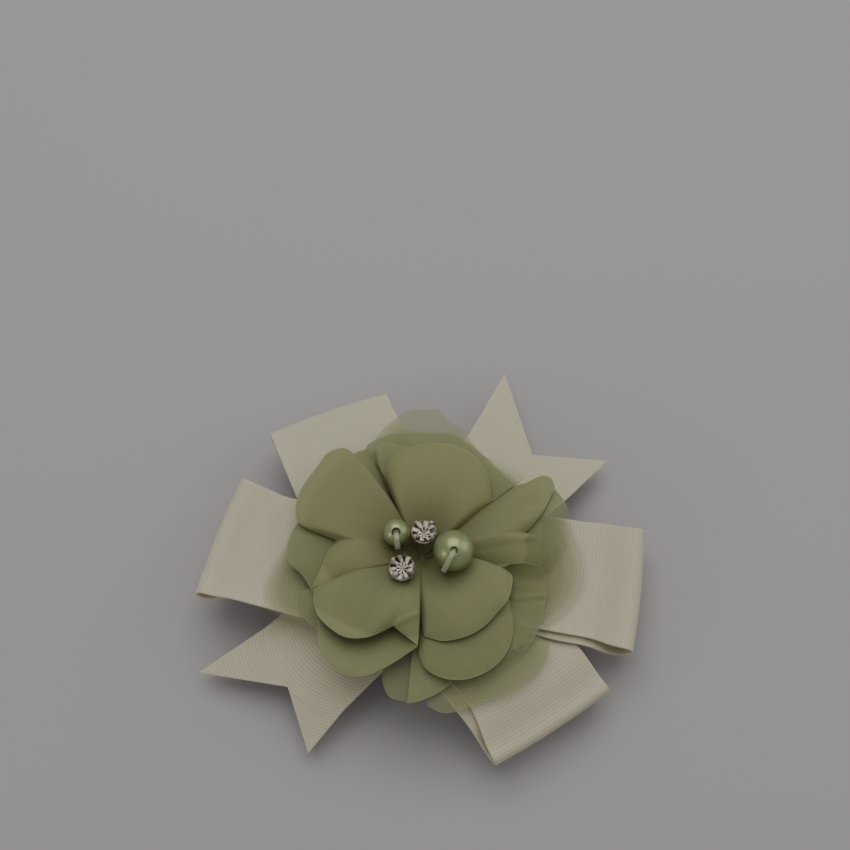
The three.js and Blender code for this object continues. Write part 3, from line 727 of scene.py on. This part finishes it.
petal_piece(
    "third_front_right", **SINGLE, root=(274, 300),
    turn=3, phase=3, folds=[((335.5, 18), (342.2, 22.7), 0.3, 0.35)], thin_to=0.3,
    thins=[(0.911, sheer_chiffon), *RIM_THINS[2:]],
    rim=[[285, 22.7, 15.5], [293, 24.4, 15.5], [302.5, 24.5, 15.6], [316, 24.6, 15.7],
         [328.8, 24.3, 15.9], [340.9, 23.3, 16.6], [344, 23.1, 17.1], [348.8, 22.6, 18],
         [351.4, 22, 18.8], [353.4, 21.2, 19.4], [354.5, 19.3, 19.9], [354.3, 17.5, 20],
         [352.6, 15.6, 19.6], [349, 14.4, 18.6]],
)

# The second ring, straight under the top one and reaching past it.
SECOND = {"finish": under_chiffon, "slot": "chiffon_sage", "root_height": OUTER_HEIGHT + 2}
petal_piece(
    "second_back", **SECOND, root=(39, 119),
    thins=[(0.88, half_chiffon), (0.91, sheer_chiffon), *RIM_THINS[2:]], thin_to=0.3,
    rim=[[39.6, 25.4, 16.9], [46, 25.1, 17.1], [53, 24.4, 17.1], [60, 23.2, 17], [70, 22.2, 17],
         [81, 21.6, 17], [93, 21.8, 17], [101.5, 23.1, 17.1], [107.5, 24.4, 17.2], [111.5, 23.8, 17.1],
         [114, 21, 16.9]],
)
petal_piece(
    "second_left", **SECOND, root=(118, 176), puff=0.8, phase=1.5,
    rim=[[115, 23.6, 16], [118.5, 24.8, 16.2], [123, 24.5, 16.6], [133, 23.4, 17], [144, 23, 17],
         [155, 22.8, 17], [163, 23.7, 17.1], [170, 24.4, 17.1], [176, 24.5, 17], [182, 23.9, 17],
         [187, 22, 16.9], [192, 21, 16.8], [199, 20.4, 16.5]],
)
petal_piece(
    "second_front_left", **SECOND, puff=-1.2, turn=2, phase=2.5,
    root=(184, 256),
    rim=[[197, 19.5, 16.8], [206, 20.8, 16.9], [214, 22.1, 17], [220, 23.6, 17], [226, 24.8, 17],
         [231.5, 25.2, 16.9], [238, 24.9, 16.9], [245, 23.6, 17], [251, 21.4, 17.2],
         [257.5, 19.2, 17.8], [263, 17.6, 18.4], [267.6, 16.7, 19]],
)
petal_piece(
    "second_front_right", **SECOND, root=(263, 290), puff=0.8, phase=3.5,
    rim=[[268.4, 17.6, 16.8], [272, 20.1, 17], [280, 22.2, 17.1], [288, 23.2, 17.1],
         [297, 23.5, 17.1], [306, 23.2, 17.1], [314, 22.2, 17.1], [322, 20.4, 17.2],
         [332, 17.6, 17.2], [342, 15.7, 17.2], [350.5, 14.6, 17.2]],
)
petal_piece(
    "second_right", **SECOND, root=(-24, 8, 40), lifts=(-1, -0.3, 0),
    puff=0.5, phase=4, thin_to=0.54,
    thins=[(0.8, half_chiffon), (0.844, sheer_chiffon), *RIM_THINS],
    rim=[[-9, 21.5, 15.4], [-5, 23.4, 15.5], [0, 24.9, 15.7], [6, 26.6, 16], [12, 27.9, 16.3],
         [18, 28.7, 16.6], [22.3, 28.8, 16.8], [27, 28.5, 16.9], [30.3, 28.1, 16.9], [34, 26.8, 16.9],
         [38, 24, 16.8], [41.5, 20, 16.6]],
)

# The top ring: five full, puffed petals whose sides plunge into the creases between them.
TOP = {"finish": sage_chiffon, "slot": "chiffon_sage", "root_height": OUTER_HEIGHT + 3, "puff": 2.2,
       "square": 24}
TOP_WARM = {**TOP, "finish": warm_chiffon}
petal_piece(
    "top_back", **TOP_WARM, root=(39, 119), bulge=(0.5, 0.6),
    rim=[[39.3, 16.6, 18.2], [49, 19, 18.8], [61, 21.5, 19.2], [75, 22.4, 19.4], [91.4, 21.6, 19.3],
         [104.4, 20.2, 19], [109.1, 19.3, 18.8], [113.5, 17.6, 18.4]],
)
petal_piece(
    "top_left", **TOP_WARM, root=(126, 176), bulge=(0.6, 0.9), phase=1,
    rim=[[120.9, 18, 18.2], [122.5, 22.5, 18.3], [122.8, 24.6, 18.4], [125, 26, 18.7], [130.9, 26.8, 19],
         [137.7, 26.1, 19.1], [150.8, 25.6, 19.1], [157.5, 24.9, 19], [163.4, 23.7, 18.8],
         [165.4, 22.2, 18.7], [169, 16.3, 18.9], [169.7, 15.7, 18.8], [170.8, 15.7, 18.8],
         [178.5, 16.9, 18.9], [187, 18, 18.8], [193.5, 19.4, 18.5], [196.6, 20.3, 18.2]],
)
petal_piece(
    "top_front_left", **TOP, root=(184, 252),
    bulge=(0.9, 0.2), phase=2, folds=[((249.3, 14.1), (265.5, 11.7), 0.35, 0.45)],
    rim=[[197.5, 20, 18.2], [204.5, 20.9, 18.7], [212, 21.3, 19], [220.5, 20.9, 19.1],
         [229, 20.1, 19.1], [238, 17.9, 19.1], [247.6, 14.5, 19.1], [249.3, 14.1, 19.1],
         [250.6, 14.1, 19], [258.8, 15, 19.1], [266.9, 16.4, 19.3], [267.8, 16.5, 19.3]],
)
petal_piece(
    "top_front_right", **TOP, root=(263, 290),
    bulge=(0.8, 0.9), phase=3,
    rim=[[271.4, 14.7, 18.3], [282, 16, 18.7], [291, 16.6, 19], [300, 17, 19.2], [310, 17.1, 19.3],
         [321, 17, 19.3], [331, 17.3, 19.3], [339.5, 17, 19.2], [346.5, 16.5, 18.9], [351, 15, 18.3]],
)
petal_piece(
    "top_right", **{**TOP, "square": 4}, root=(-46, -8, 31), lifts=(-2.4, -0.4, 0),
    bulge=(0.9, 0.8), phase=4, thin_to=0.45,
    thins=[(0.8, under_chiffon), (0.822, half_chiffon), (0.844, sheer_chiffon),
           *zip((0.867, 0.889, 0.911, 0.944, 0.978), thinned)],
    rim=[[-9, 19, 15.6], [-7, 20.6, 15.9], [-4, 21.8, 16.4], [0, 22.8, 16.7], [3.5, 23.3, 16.9],
         [7.5, 23.1, 17.1], [9.8, 22, 17.5], [12, 20.7, 17.9], [13.7, 19.3, 18.2],
         [15.2, 20.1, 18.3], [20.8, 23.5, 18.5], [26.3, 26.5, 18.4], [28.7, 28, 18.2],
         [32.6, 28.5, 18.1], [35.2, 27.5, 18], [36.5, 23.8, 17.9]],
)


# ---------------------------------------------------------------- gathered base
# A stiffened round of the same chiffon, run up on a thread into a puckered knot that all the
# petals are sewn to; only its middle shows between the beads, coloured dark as painted shade.
BASE_HEIGHT = 13.8
BASE_ROWS = 56
BASE_COLUMNS = 112
PUCKERS = 14
PUCKER_DEPTH = 0.09
PUCKER_SAG = 0.35
BASE_PROFILE = [
    [0, 0], [3.5, 0], [6.9, 0.05], [7.0, 0.3], [6.9, 0.55], [4.5, 0.7], [3.0, 0.9], [2.3, 1.3],
    [1.7, 2.1], [1.3, 2.9], [0.7, 3.4], [0.0, 3.5],
]


def round_about(count):
    """Even steps of a full turn, in radians."""
    return np.linspace(0, 2 * math.pi, count, endpoint=False)


def ring_faces(rows, columns, start=0, ends="flat"):
    """Face corners of a stack of rings; its ends are flat, open or joined to each other."""
    ring = numbered(rows, columns, start)
    if ends == "joined":
        ring = np.concatenate([ring, ring[:1]])
    after = np.roll(ring, -1, axis=1)
    faces = np.stack([ring[:-1], after[:-1], after[1:], ring[1:]], -1).reshape(-1, 4).tolist()
    if ends == "flat":
        faces += [ring[0][::-1].tolist(), ring[-1].tolist()]
    return faces


def base_piece():
    """A round profile that waves as cos 14 a near its top: the radius by a share, and the height."""
    profile = smooth_line(np.array(BASE_PROFILE), BASE_ROWS)
    turn = round_about(BASE_COLUMNS)
    wave = smoothstep(profile[:, 1:], 0.6, 2.0) * np.cos(PUCKERS * turn)
    height = BASE_HEIGHT + profile[:, 1:] - PUCKER_SAG * wave * smoothstep(profile[:, :1], 0, 1)
    points = turned(turn, profile[:, :1] * (1 + PUCKER_DEPTH * wave), height)[1:-1]
    faces = ring_faces(*points.shape[:2], ends="open")
    under = points.shape[0] * len(turn)
    first = np.arange(len(turn))
    last = first + under - len(turn)
    faces += [[under, b, a] for a, b in zip(first, np.roll(first, -1))]
    faces += [[under + 1, a, b] for a, b in zip(last, np.roll(last, -1))]
    poles = [[0, 0, BASE_HEIGHT], [0, 0, height[-1, 0]]]
    return mesh_piece("gathered_base", np.concatenate([points.reshape(-1, 3), poles]) * MM, faces)


base = base_piece()
# painted shade: the knot's chiffon is darker than the petals' pale sage, for the shaded deep centre
base.data.materials.append(finish_of("gathered_chiffon_shaded", (0.19, 0.2, 0.08), 0.8, Sheen_Weight=0.2))
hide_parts("flower_base")
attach(base, "root")


# ---------------------------------------------------------------- felt backing
# A round of ivory felt a little over a millimetre thick that the ribbons and the flower are
# sewn to. Its cut edge is soft and slightly uneven.
FELT_RADIUS = 15.0
FELT_LOW = 7.3
FELT_HIGH = 8.6
FELT_EDGE = 0.3
FELT_COLUMNS = 180
FELT_WAVES = ((0.12, 5, 0.6), (0.07, 23, 0), (0.04, 41, 2))
FELT_TRIM = 0.2
FELT_DENT = 0.04
FELT_DENT_WAVES = (17, 27, 31)


def felt_piece():
    """A round with a half-circle edge, its radius uneven by three small waves, its faces dented."""
    bend = np.linspace(-math.pi / 2, math.pi / 2, 9)
    half = (FELT_HIGH - FELT_LOW) / 2
    flat = FELT_RADIUS - FELT_EDGE
    rim = np.stack([flat + FELT_EDGE * np.cos(bend), half * np.sin(bend)], -1)
    inner = np.linspace(0.02, 0.97, 12)[:, None] * [flat, 0]
    profile = np.concatenate([inner - [0, half], rim, inner[::-1] + [0, half]])
    turn = round_about(FELT_COLUMNS)
    uneven = sum(size * np.sin(waves * turn + shift) for size, waves, shift in FELT_WAVES)
    share = profile[:, :1] / FELT_RADIUS
    about, outward, rings = FELT_DENT_WAVES
    dents = FELT_DENT * np.sin(about * turn + outward * share) * np.sin(rings * share)
    height = (FELT_LOW + FELT_HIGH) / 2 + profile[:, 1:] + dents * np.sign(profile[:, 1:])
    points = turned(turn, profile[:, :1] + (uneven - FELT_TRIM) * share**4, height)
    return mesh_piece("felt_round", points.reshape(-1, 3) * MM, ring_faces(len(profile), len(turn)))


def felt_finish():
    """Ivory wool: matt, with matted fibres as fine noise in the bump and the tone."""
    finish = finish_of("ivory_felt", (0.62, 0.58, 0.47), 0.95, Sheen_Weight=0.4, Sheen_Roughness=0.6)
    fibres = clouds(finish, real_place(finish), scale=1400.0, detail=8.0, roughness=0.7)
    tone = shades(finish, fibres, (0.3, (0.50, 0.46, 0.36)), (0.7, (0.66, 0.62, 0.51)))
    return surfaced(finish, tone, fibres, strength=0.6, depth=0.0003)


felt = felt_piece()
felt.data.materials.append(felt_finish())
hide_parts("felt_backing")
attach(felt, "root")


# ---------------------------------------------------------------- elastic wristband
# A flat loop of ivory elastic, 12 mm wide and a millimetre thick, pressed flat under the
# felt. Covered rubber cords run along it, and its weft pulls it into fine cross ribs.
BAND_HEIGHT = 7.0
BAND_HALF = 32.0
BAND_WIDTH = 12.0
BAND_THICKNESS = 1.0
BAND_ANGLE = -7.6
BAND_RIB_DEPTH = 0.07
CORD_DEPTH = 0.05
CORD_PITCH = 1.8
BAND_COLUMNS = 25
BAND_EDGE_SHARE = 0.45


def band_piece():
    """A strip round a stadium, in the middle of the cloth: two straights and two half circles.

    The cloth is thinner by |sin(pi run / pitch)| between the ribs and by a cosine between the
    cords, and thins to round edges.
    """
    radius = (BAND_HEIGHT - BAND_THICKNESS) / 2
    straight = BAND_HALF - BAND_HEIGHT / 2
    swing = np.linspace(-math.pi / 2, math.pi / 2, 40)
    right = np.stack([straight + radius * np.cos(swing), radius * np.sin(swing)], -1)
    path = np.concatenate([right, -right, right[:1]]) + [0, BAND_HEIGHT / 2]
    length = along(path)
    count = STEPS_PER_RIB * int(round(length[-1] / RIB_PITCH))
    run = np.linspace(0, length[-1], count, endpoint=False)[:, None]
    x, z = (np.interp(run, length, path[:, k]) for k in range(2))
    side = np.concatenate([[0, 0.12, 0.35], np.linspace(0.6, BAND_WIDTH - 0.6, BAND_COLUMNS)])
    side = np.concatenate([side, BAND_WIDTH - side[2::-1]])
    y = side - BAND_WIDTH / 2
    spin = math.radians(BAND_ANGLE)
    points = np.stack(
        np.broadcast_arrays(
            x * math.cos(spin) - y * math.sin(spin), x * math.sin(spin) + y * math.cos(spin), z
        ),
        -1,
    )
    edge = np.minimum(side, BAND_WIDTH - side)
    ribs = BAND_RIB_DEPTH * (np.abs(np.sin(math.pi * run / RIB_PITCH)) - 1)
    cords = CORD_DEPTH * (np.cos(2 * math.pi * side / CORD_PITCH) - 1)
    thick = BAND_THICKNESS + 2 * (ribs + cords) * smoothstep(edge, 0.1, 0.7)
    thick = thick * (BAND_EDGE_SHARE + (1 - BAND_EDGE_SHARE) * smoothstep(edge, -0.08, 0.4))
    ring = numbered(count, len(side))
    faces = cloth_faces(np.concatenate([ring, ring[:1]]))
    weave = np.stack(np.broadcast_arrays(side, run), -1).reshape(-1, 2)
    return cloth_piece("elastic_band", points.reshape(-1, 3), faces, thick.ravel(), weave)


band = band_piece()
band.data.materials.append(ivory_grosgrain)
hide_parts("wristband")
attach(band, "root")


# ---------------------------------------------------------------- pearls
# Two glass beads with a pale green pearl coat, 7 and 5 mm across, drilled through; the hole
# faces forward and up. The lip of the hole is slightly rounded.
PEARLS = {
    "small": {"centre": [-4.5, 2.9, 22.4], "radius": 2.45, "hole": 0.75, "aside": 0.1},
    "large": {"centre": [5.6, -0.9, 23.5], "radius": 3.6, "hole": 0.62, "aside": -0.5},
}
PEARL_LIP = 0.12
BEAD_ROWS = 64
BEAD_COLUMNS = 96
PEARL_FACING = np.array([0, -0.35, 0.94]) / math.hypot(0.35, 0.94)
PEARL_SIDE = np.array([1.0, 0, 0])
PEARL_OVER = np.cross(PEARL_FACING, PEARL_SIDE)


def on_the_bore(profile, turn, centre):
    """A profile of radius and height turned round the line of a bead's bore."""
    around = np.cos(turn)[:, None] * PEARL_SIDE + np.sin(turn)[:, None] * PEARL_OVER
    points = profile[:, None, :1] * around + profile[:, None, 1:] * PEARL_FACING
    return points.reshape(-1, 3) + centre


def bead_piece(which, centre, radius, hole):
    """A sphere with a bore, as one closed profile turned round the bore's line.

    The profile runs from the lower lip over the ball to the upper lip and down the bore.
    """
    lip = math.asin((hole + PEARL_LIP) / radius)
    ball = np.linspace(math.pi - lip, lip, BEAD_ROWS)
    profile = radius * np.stack([np.sin(ball), np.cos(ball)], -1)
    low = profile[0, 1]
    high = profile[-1, 1]
    bore = [[hole + 0.03, high - 0.05], [hole, high - 0.2], [hole, 0], [hole, low + 0.2],
            [hole + 0.03, low + 0.05]]
    profile = np.concatenate([profile, bore])
    turn = round_about(BEAD_COLUMNS)
    points = on_the_bore(profile, turn, centre)
    faces = ring_faces(len(profile), len(turn), ends="joined")
    return mesh_piece(f"pearl_bead_{which}", points * MM, faces)


def pearl_finish():
    """Pearl coat: soft green body under a clear coat, with faint cloudy tone from noise."""
    finish = finish_of(
        "green_pearl", (0.32, 0.37, 0.17), 0.4, Coat_Weight=0.5, Coat_Roughness=0.15, Metallic=0.65,
        Specular_Tint=(0.45, 0.55, 0.3, 1),
    )
    cloudy = clouds(finish, real_place(finish), scale=260.0, detail=3.0)
    tone = shades(finish, cloudy, (0.3, (0.28, 0.325, 0.14)), (0.75, (0.37, 0.42, 0.21)))
    return surfaced(finish, tone)


green_pearl = pearl_finish()
for which, pearl in PEARLS.items():
    bead = bead_piece(which, pearl["centre"], pearl["radius"], pearl["hole"])
    bead.data.materials.append(green_pearl)
    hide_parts(f"pearl_{which}")
    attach(bead, "root")


# ---------------------------------------------------------------- stitches
# Doubled, twisted sewing thread: up out of each bead's bore, over its front and down between
# the petals. A knot at the thread's end fills the bore.
THREAD_HALF = 0.5
THREAD_DEPTH = 0.3
THREAD_TWIST = 1.6
THREAD_ROWS = 90
THREAD_COLUMNS = 16
THREAD_GAP = 0.03
THREAD_IN_BORE = [[1.5], [0.45]]
THREAD_INSET = 0.34
STITCH_END = 1.85
KNOT_PROFILE = [[0.5, -1.2], [0.85, -1.1], [0.95, -0.9], [0.95, -0.75], [0.8, -0.6], [0.4, -0.52]]
KNOT_DROP = 2.5
TIGHT_HOLE = 0.55


def stitch_piece(which, centre, radius, hole, aside):
    """Two plies twisted round a line over a ball, pressed flat against it.

    The line rises along the lower side of the bore and then keeps a fixed distance from the
    centre. The section is an ellipse whose size is 0.84 + 0.16 |cos(a - twist)| at the angle a,
    two plies side by side, and the twist grows by one turn each 1.6 mm. The knot is a round
    plug with rounded ends, which lies deeper the wider the hole is.
    """
    down = unit(np.array([aside, -PEARL_FACING[2], PEARL_FACING[1]]))
    lip = math.asin((hole + PEARL_LIP) / radius)
    swing = np.linspace(lip + 0.03, STITCH_END, 6)[:, None]
    line = np.cos(swing) * PEARL_FACING + np.sin(swing) * down
    line = (radius + THREAD_DEPTH + THREAD_GAP) * line
    rise = PEARL_FACING * (radius - np.array(THREAD_IN_BORE)) + (hole - THREAD_INSET) * down
    line = smooth_line(np.concatenate([rise, line]) + centre, THREAD_ROWS)
    ahead = unit(np.gradient(line, axis=0))
    side = unit(np.cross(ahead, np.cross(PEARL_FACING, down)))
    over = np.cross(ahead, side)
    turn = round_about(THREAD_COLUMNS)
    twist = along(line)[:, None] * 2 * math.pi / THREAD_TWIST
    size = (0.84 + 0.16 * np.abs(np.cos(turn - twist)))[..., None]
    plies = line[:, None] + size * (
        THREAD_DEPTH * np.cos(turn)[:, None] * side[:, None]
        + THREAD_HALF * np.sin(turn)[:, None] * over[:, None]
    )
    profile = np.array(KNOT_PROFILE) * [hole, 1] + [0, radius - KNOT_DROP * (hole - TIGHT_HOLE)]
    points = np.concatenate([plies.reshape(-1, 3), on_the_bore(profile, turn, centre)])
    faces = ring_faces(len(line), len(turn))
    faces += ring_faces(len(profile), len(turn), start=len(line) * len(turn))
    return mesh_piece(f"thread_stitch_{which}", points * MM, faces)


thread = finish_of("pale_thread", (0.37, 0.39, 0.23), 0.45, Sheen_Weight=0.3)
for which, pearl in PEARLS.items():
    stitched = stitch_piece(which, **pearl)
    stitched.data.materials.append(thread)
    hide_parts(f"stitch_{which}")
    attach(stitched, "root")


# ---------------------------------------------------------------- rhinestones and settings
# Two foil-backed cut stones, about 4 mm across, each in a silver-plated cup whose four claws
# are bent over its edge.
SEATS = {
    "back": {"place": (0.4, 3.3, 20.2), "tilt": (-0.12, 0.0)},
    "front": {"place": (-3.3, -3.4, 20.9), "tilt": (0.15, -0.15)},
}
STONE_RADIUS = 2.12
STONE_POINT = 0.3
STONE_SIDES = 8
STONE_RINGS = [
    {"corners": STONE_SIDES, "share": 0.5, "height": 2.62, "shift": 0},
    {"corners": STONE_SIDES, "share": 0.78, "height": 2.26, "shift": 0.5},
    {"corners": 2 * STONE_SIDES, "share": 1, "height": 1.66, "shift": 0},
    {"corners": 2 * STONE_SIDES, "share": 1, "height": 1.46, "shift": 0},
    {"corners": 2 * STONE_SIDES, "share": 0.5, "height": 0.86, "shift": 0.5},
]
GOLDEN_SHARE = 0.618
CUP_PROFILE = np.array(
    [[1.0, -0.5], [1.6, -0.5], [1.95, 0.1], [2.26, 0.7], [2.3, 1.1], [2.2, 1.22], [2.06, 1.12],
     [2.0, 0.9], [1.5, 0.2], [1.0, -0.2]]
)
CUP_STEPS = 48
CLAW_LINE = [[2.2, 0, 0.3], [2.3, 0, 1.1], [2.27, 0, 1.72], [1.98, 0, 2.16], [1.55, 0, 2.47]]
CLAWS = 4
CLAW_STEPS = 22
CLAW_CORNERS = 12
CLAW_WIDTH = 0.55
CLAW_THICKNESS = 0.26
CLAW_TAPER = 0.45
CLAW_TAPER_START = 0.75


def seated(points, place, tilt):
    """Points of a seat turned about Y, then about X, and moved to its place."""
    (ca, cb), (sa, sb) = np.cos(tilt), np.sin(tilt)
    about_y = np.array([[cb, 0, sb], [0, 1, 0], [-sb, 0, cb]])
    about_x = np.array([[1, 0, 0], [0, ca, -sa], [0, sa, ca]])
    return (points @ (about_x @ about_y).T + place) * MM


def stone_piece(name, place, tilt):
    """A round brilliant: flat facets between rings of corners.

    The rings are the table, the bezel turned half a step, the girdle above and below, and one
    part of the way down to the point. The crown is glass, the back foil. Facet j keeps a painted
    brightness, standing for the reflections in the foil: j / golden ratio + x of the place, modulo 1.
    """
    rings = [
        turned(
            round_about(ring["corners"]) + ring["shift"] * 2 * math.pi / ring["corners"],
            ring["share"] * STONE_RADIUS,
            ring["height"],
        )
        for ring in STONE_RINGS
    ]
    points = np.concatenate([*rings, [[0, 0, STONE_POINT]]])
    starts = np.cumsum([0] + [ring["corners"] for ring in STONE_RINGS])
    table, bezel, upper, lower, middle, point = starts.tolist()
    sides = STONE_SIDES
    crown = [list(range(sides))]
    for k in range(sides):
        crown.append([table + k, bezel + k, table + (k + 1) % sides])
        crown.append([table + k, bezel + (k - 1) % sides, upper + 2 * k, bezel + k])
        crown.append([bezel + k, upper + 2 * k, upper + 2 * k + 1])
        crown.append([bezel + k, upper + 2 * k + 1, upper + (2 * k + 2) % (2 * sides)])
    back = []
    for k in range(2 * sides):
        after = (k + 1) % (2 * sides)
        back.append([upper + k, lower + k, lower + after, upper + after])
        back.append([lower + k, middle + k, lower + after])
        back.append([middle + k, middle + after, lower + after])
        back.append([middle + k, point, middle + after])
    piece = mesh_piece(name, seated(points, place, tilt), crown + back, smooth=False)
    piece.data.materials.append(cut_crystal)
    piece.data.materials.append(silver_foil)
    piece.data.polygons.foreach_set("material_index", [0] * len(crown) + [1] * len(back))
    # painted reflections: each facet of the foil keeps its own brightness
    painted_glint = piece.data.attributes.new("painted_glint", "FLOAT", "FACE")
    painted_glint.data.foreach_set("value", (GOLDEN_SHARE * np.arange(len(crown + back)) + place[0]) % 1)
    return piece


def plated_finish(name, dark, bright, roughness, scale=None):
    """Bright metal in four tones from dark to bright: by facet, as painted reflections, or in cells of a
    given scale.
    """
    finish = finish_of(name, bright, roughness, Metallic=0.25)
    if scale is None:
        tone = kept_number(finish, "painted_glint")
    else:
        cells = shader_part(finish, "TexVoronoi", {"Vector": real_place(finish), "Scale": scale})
        tone = shader_part(finish, "SeparateColor", {"Color": cells.outputs["Color"]}).outputs["Red"]
    dark = np.array(dark)
    rise = np.array(bright) - dark
    steps = ((0, dark), (0.27, dark + 0.2 * rise), (0.43, dark + 0.55 * rise), (0.6, bright))
    return surfaced(finish, shades(finish, tone, *steps, blend="CONSTANT"))


cut_crystal = finish_of("cut_crystal", (0.02, 0.02, 0.02), 0.02, IOR=1.6, Alpha=0.12)
# The foil's facets are painted dark or bright: painted reflections.
silver_foil = plated_finish("silver_foil", (0.02, 0.017, 0.008), (1.0, 0.91, 0.73), 0.45)
silver_plate = plated_finish("silver_plate", (0.10, 0.09, 0.06), (0.55, 0.50, 0.40), 0.35, scale=900.0)


def setting_piece(name, place, tilt):
    """A cup turned round its middle, and four claws: a rounded bar swept up its side and inwards.

    The bar's section is the curve |x|^4 + |y|^4 = 1 stretched to its width and thickness.
    """
    cup = turned(round_about(CUP_STEPS), CUP_PROFILE[:, :1], CUP_PROFILE[:, 1:])
    points = [cup.reshape(-1, 3)]
    faces = ring_faces(*cup.shape[:2], ends="joined")
    line = smooth_line(np.array(CLAW_LINE), CLAW_STEPS)
    over = np.cross(unit(np.gradient(line, axis=0)), [0, 1, 0])
    corner = round_about(CLAW_CORNERS) + math.pi / CLAW_CORNERS
    across, thick = (
        (np.sign(reach) * np.abs(reach) ** 0.5 * size / 2)[:, None]
        for reach, size in ((np.cos(corner), CLAW_WIDTH), (np.sin(corner), CLAW_THICKNESS))
    )
    share = np.linspace(0, 1, CLAW_STEPS)[:, None, None]
    narrow = 1 - CLAW_TAPER * smoothstep(share, CLAW_TAPER_START, 1)
    claw = line[:, None] + narrow * (across * [0, 1, 0] + thick * over[:, None])
    for k in range(CLAWS):
        spin = (k + 0.5) * 2 * math.pi / CLAWS
        about = [[math.cos(spin), math.sin(spin), 0], [-math.sin(spin), math.cos(spin), 0], [0, 0, 1]]
        faces += ring_faces(CLAW_STEPS, CLAW_CORNERS, start=sum(len(part) for part in points))
        points.append((claw @ about).reshape(-1, 3))
    return mesh_piece(name, seated(np.concatenate(points), place, tilt), faces)


for which, seat in SEATS.items():
    stone = stone_piece(f"cut_stone_{which}", **seat)
    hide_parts(f"rhinestone_{which}")
    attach(stone, "root")
    claws = setting_piece(f"claw_setting_{which}", **seat)
    claws.data.materials.append(silver_plate)
    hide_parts(f"setting_{which}")
    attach(claws, "root")
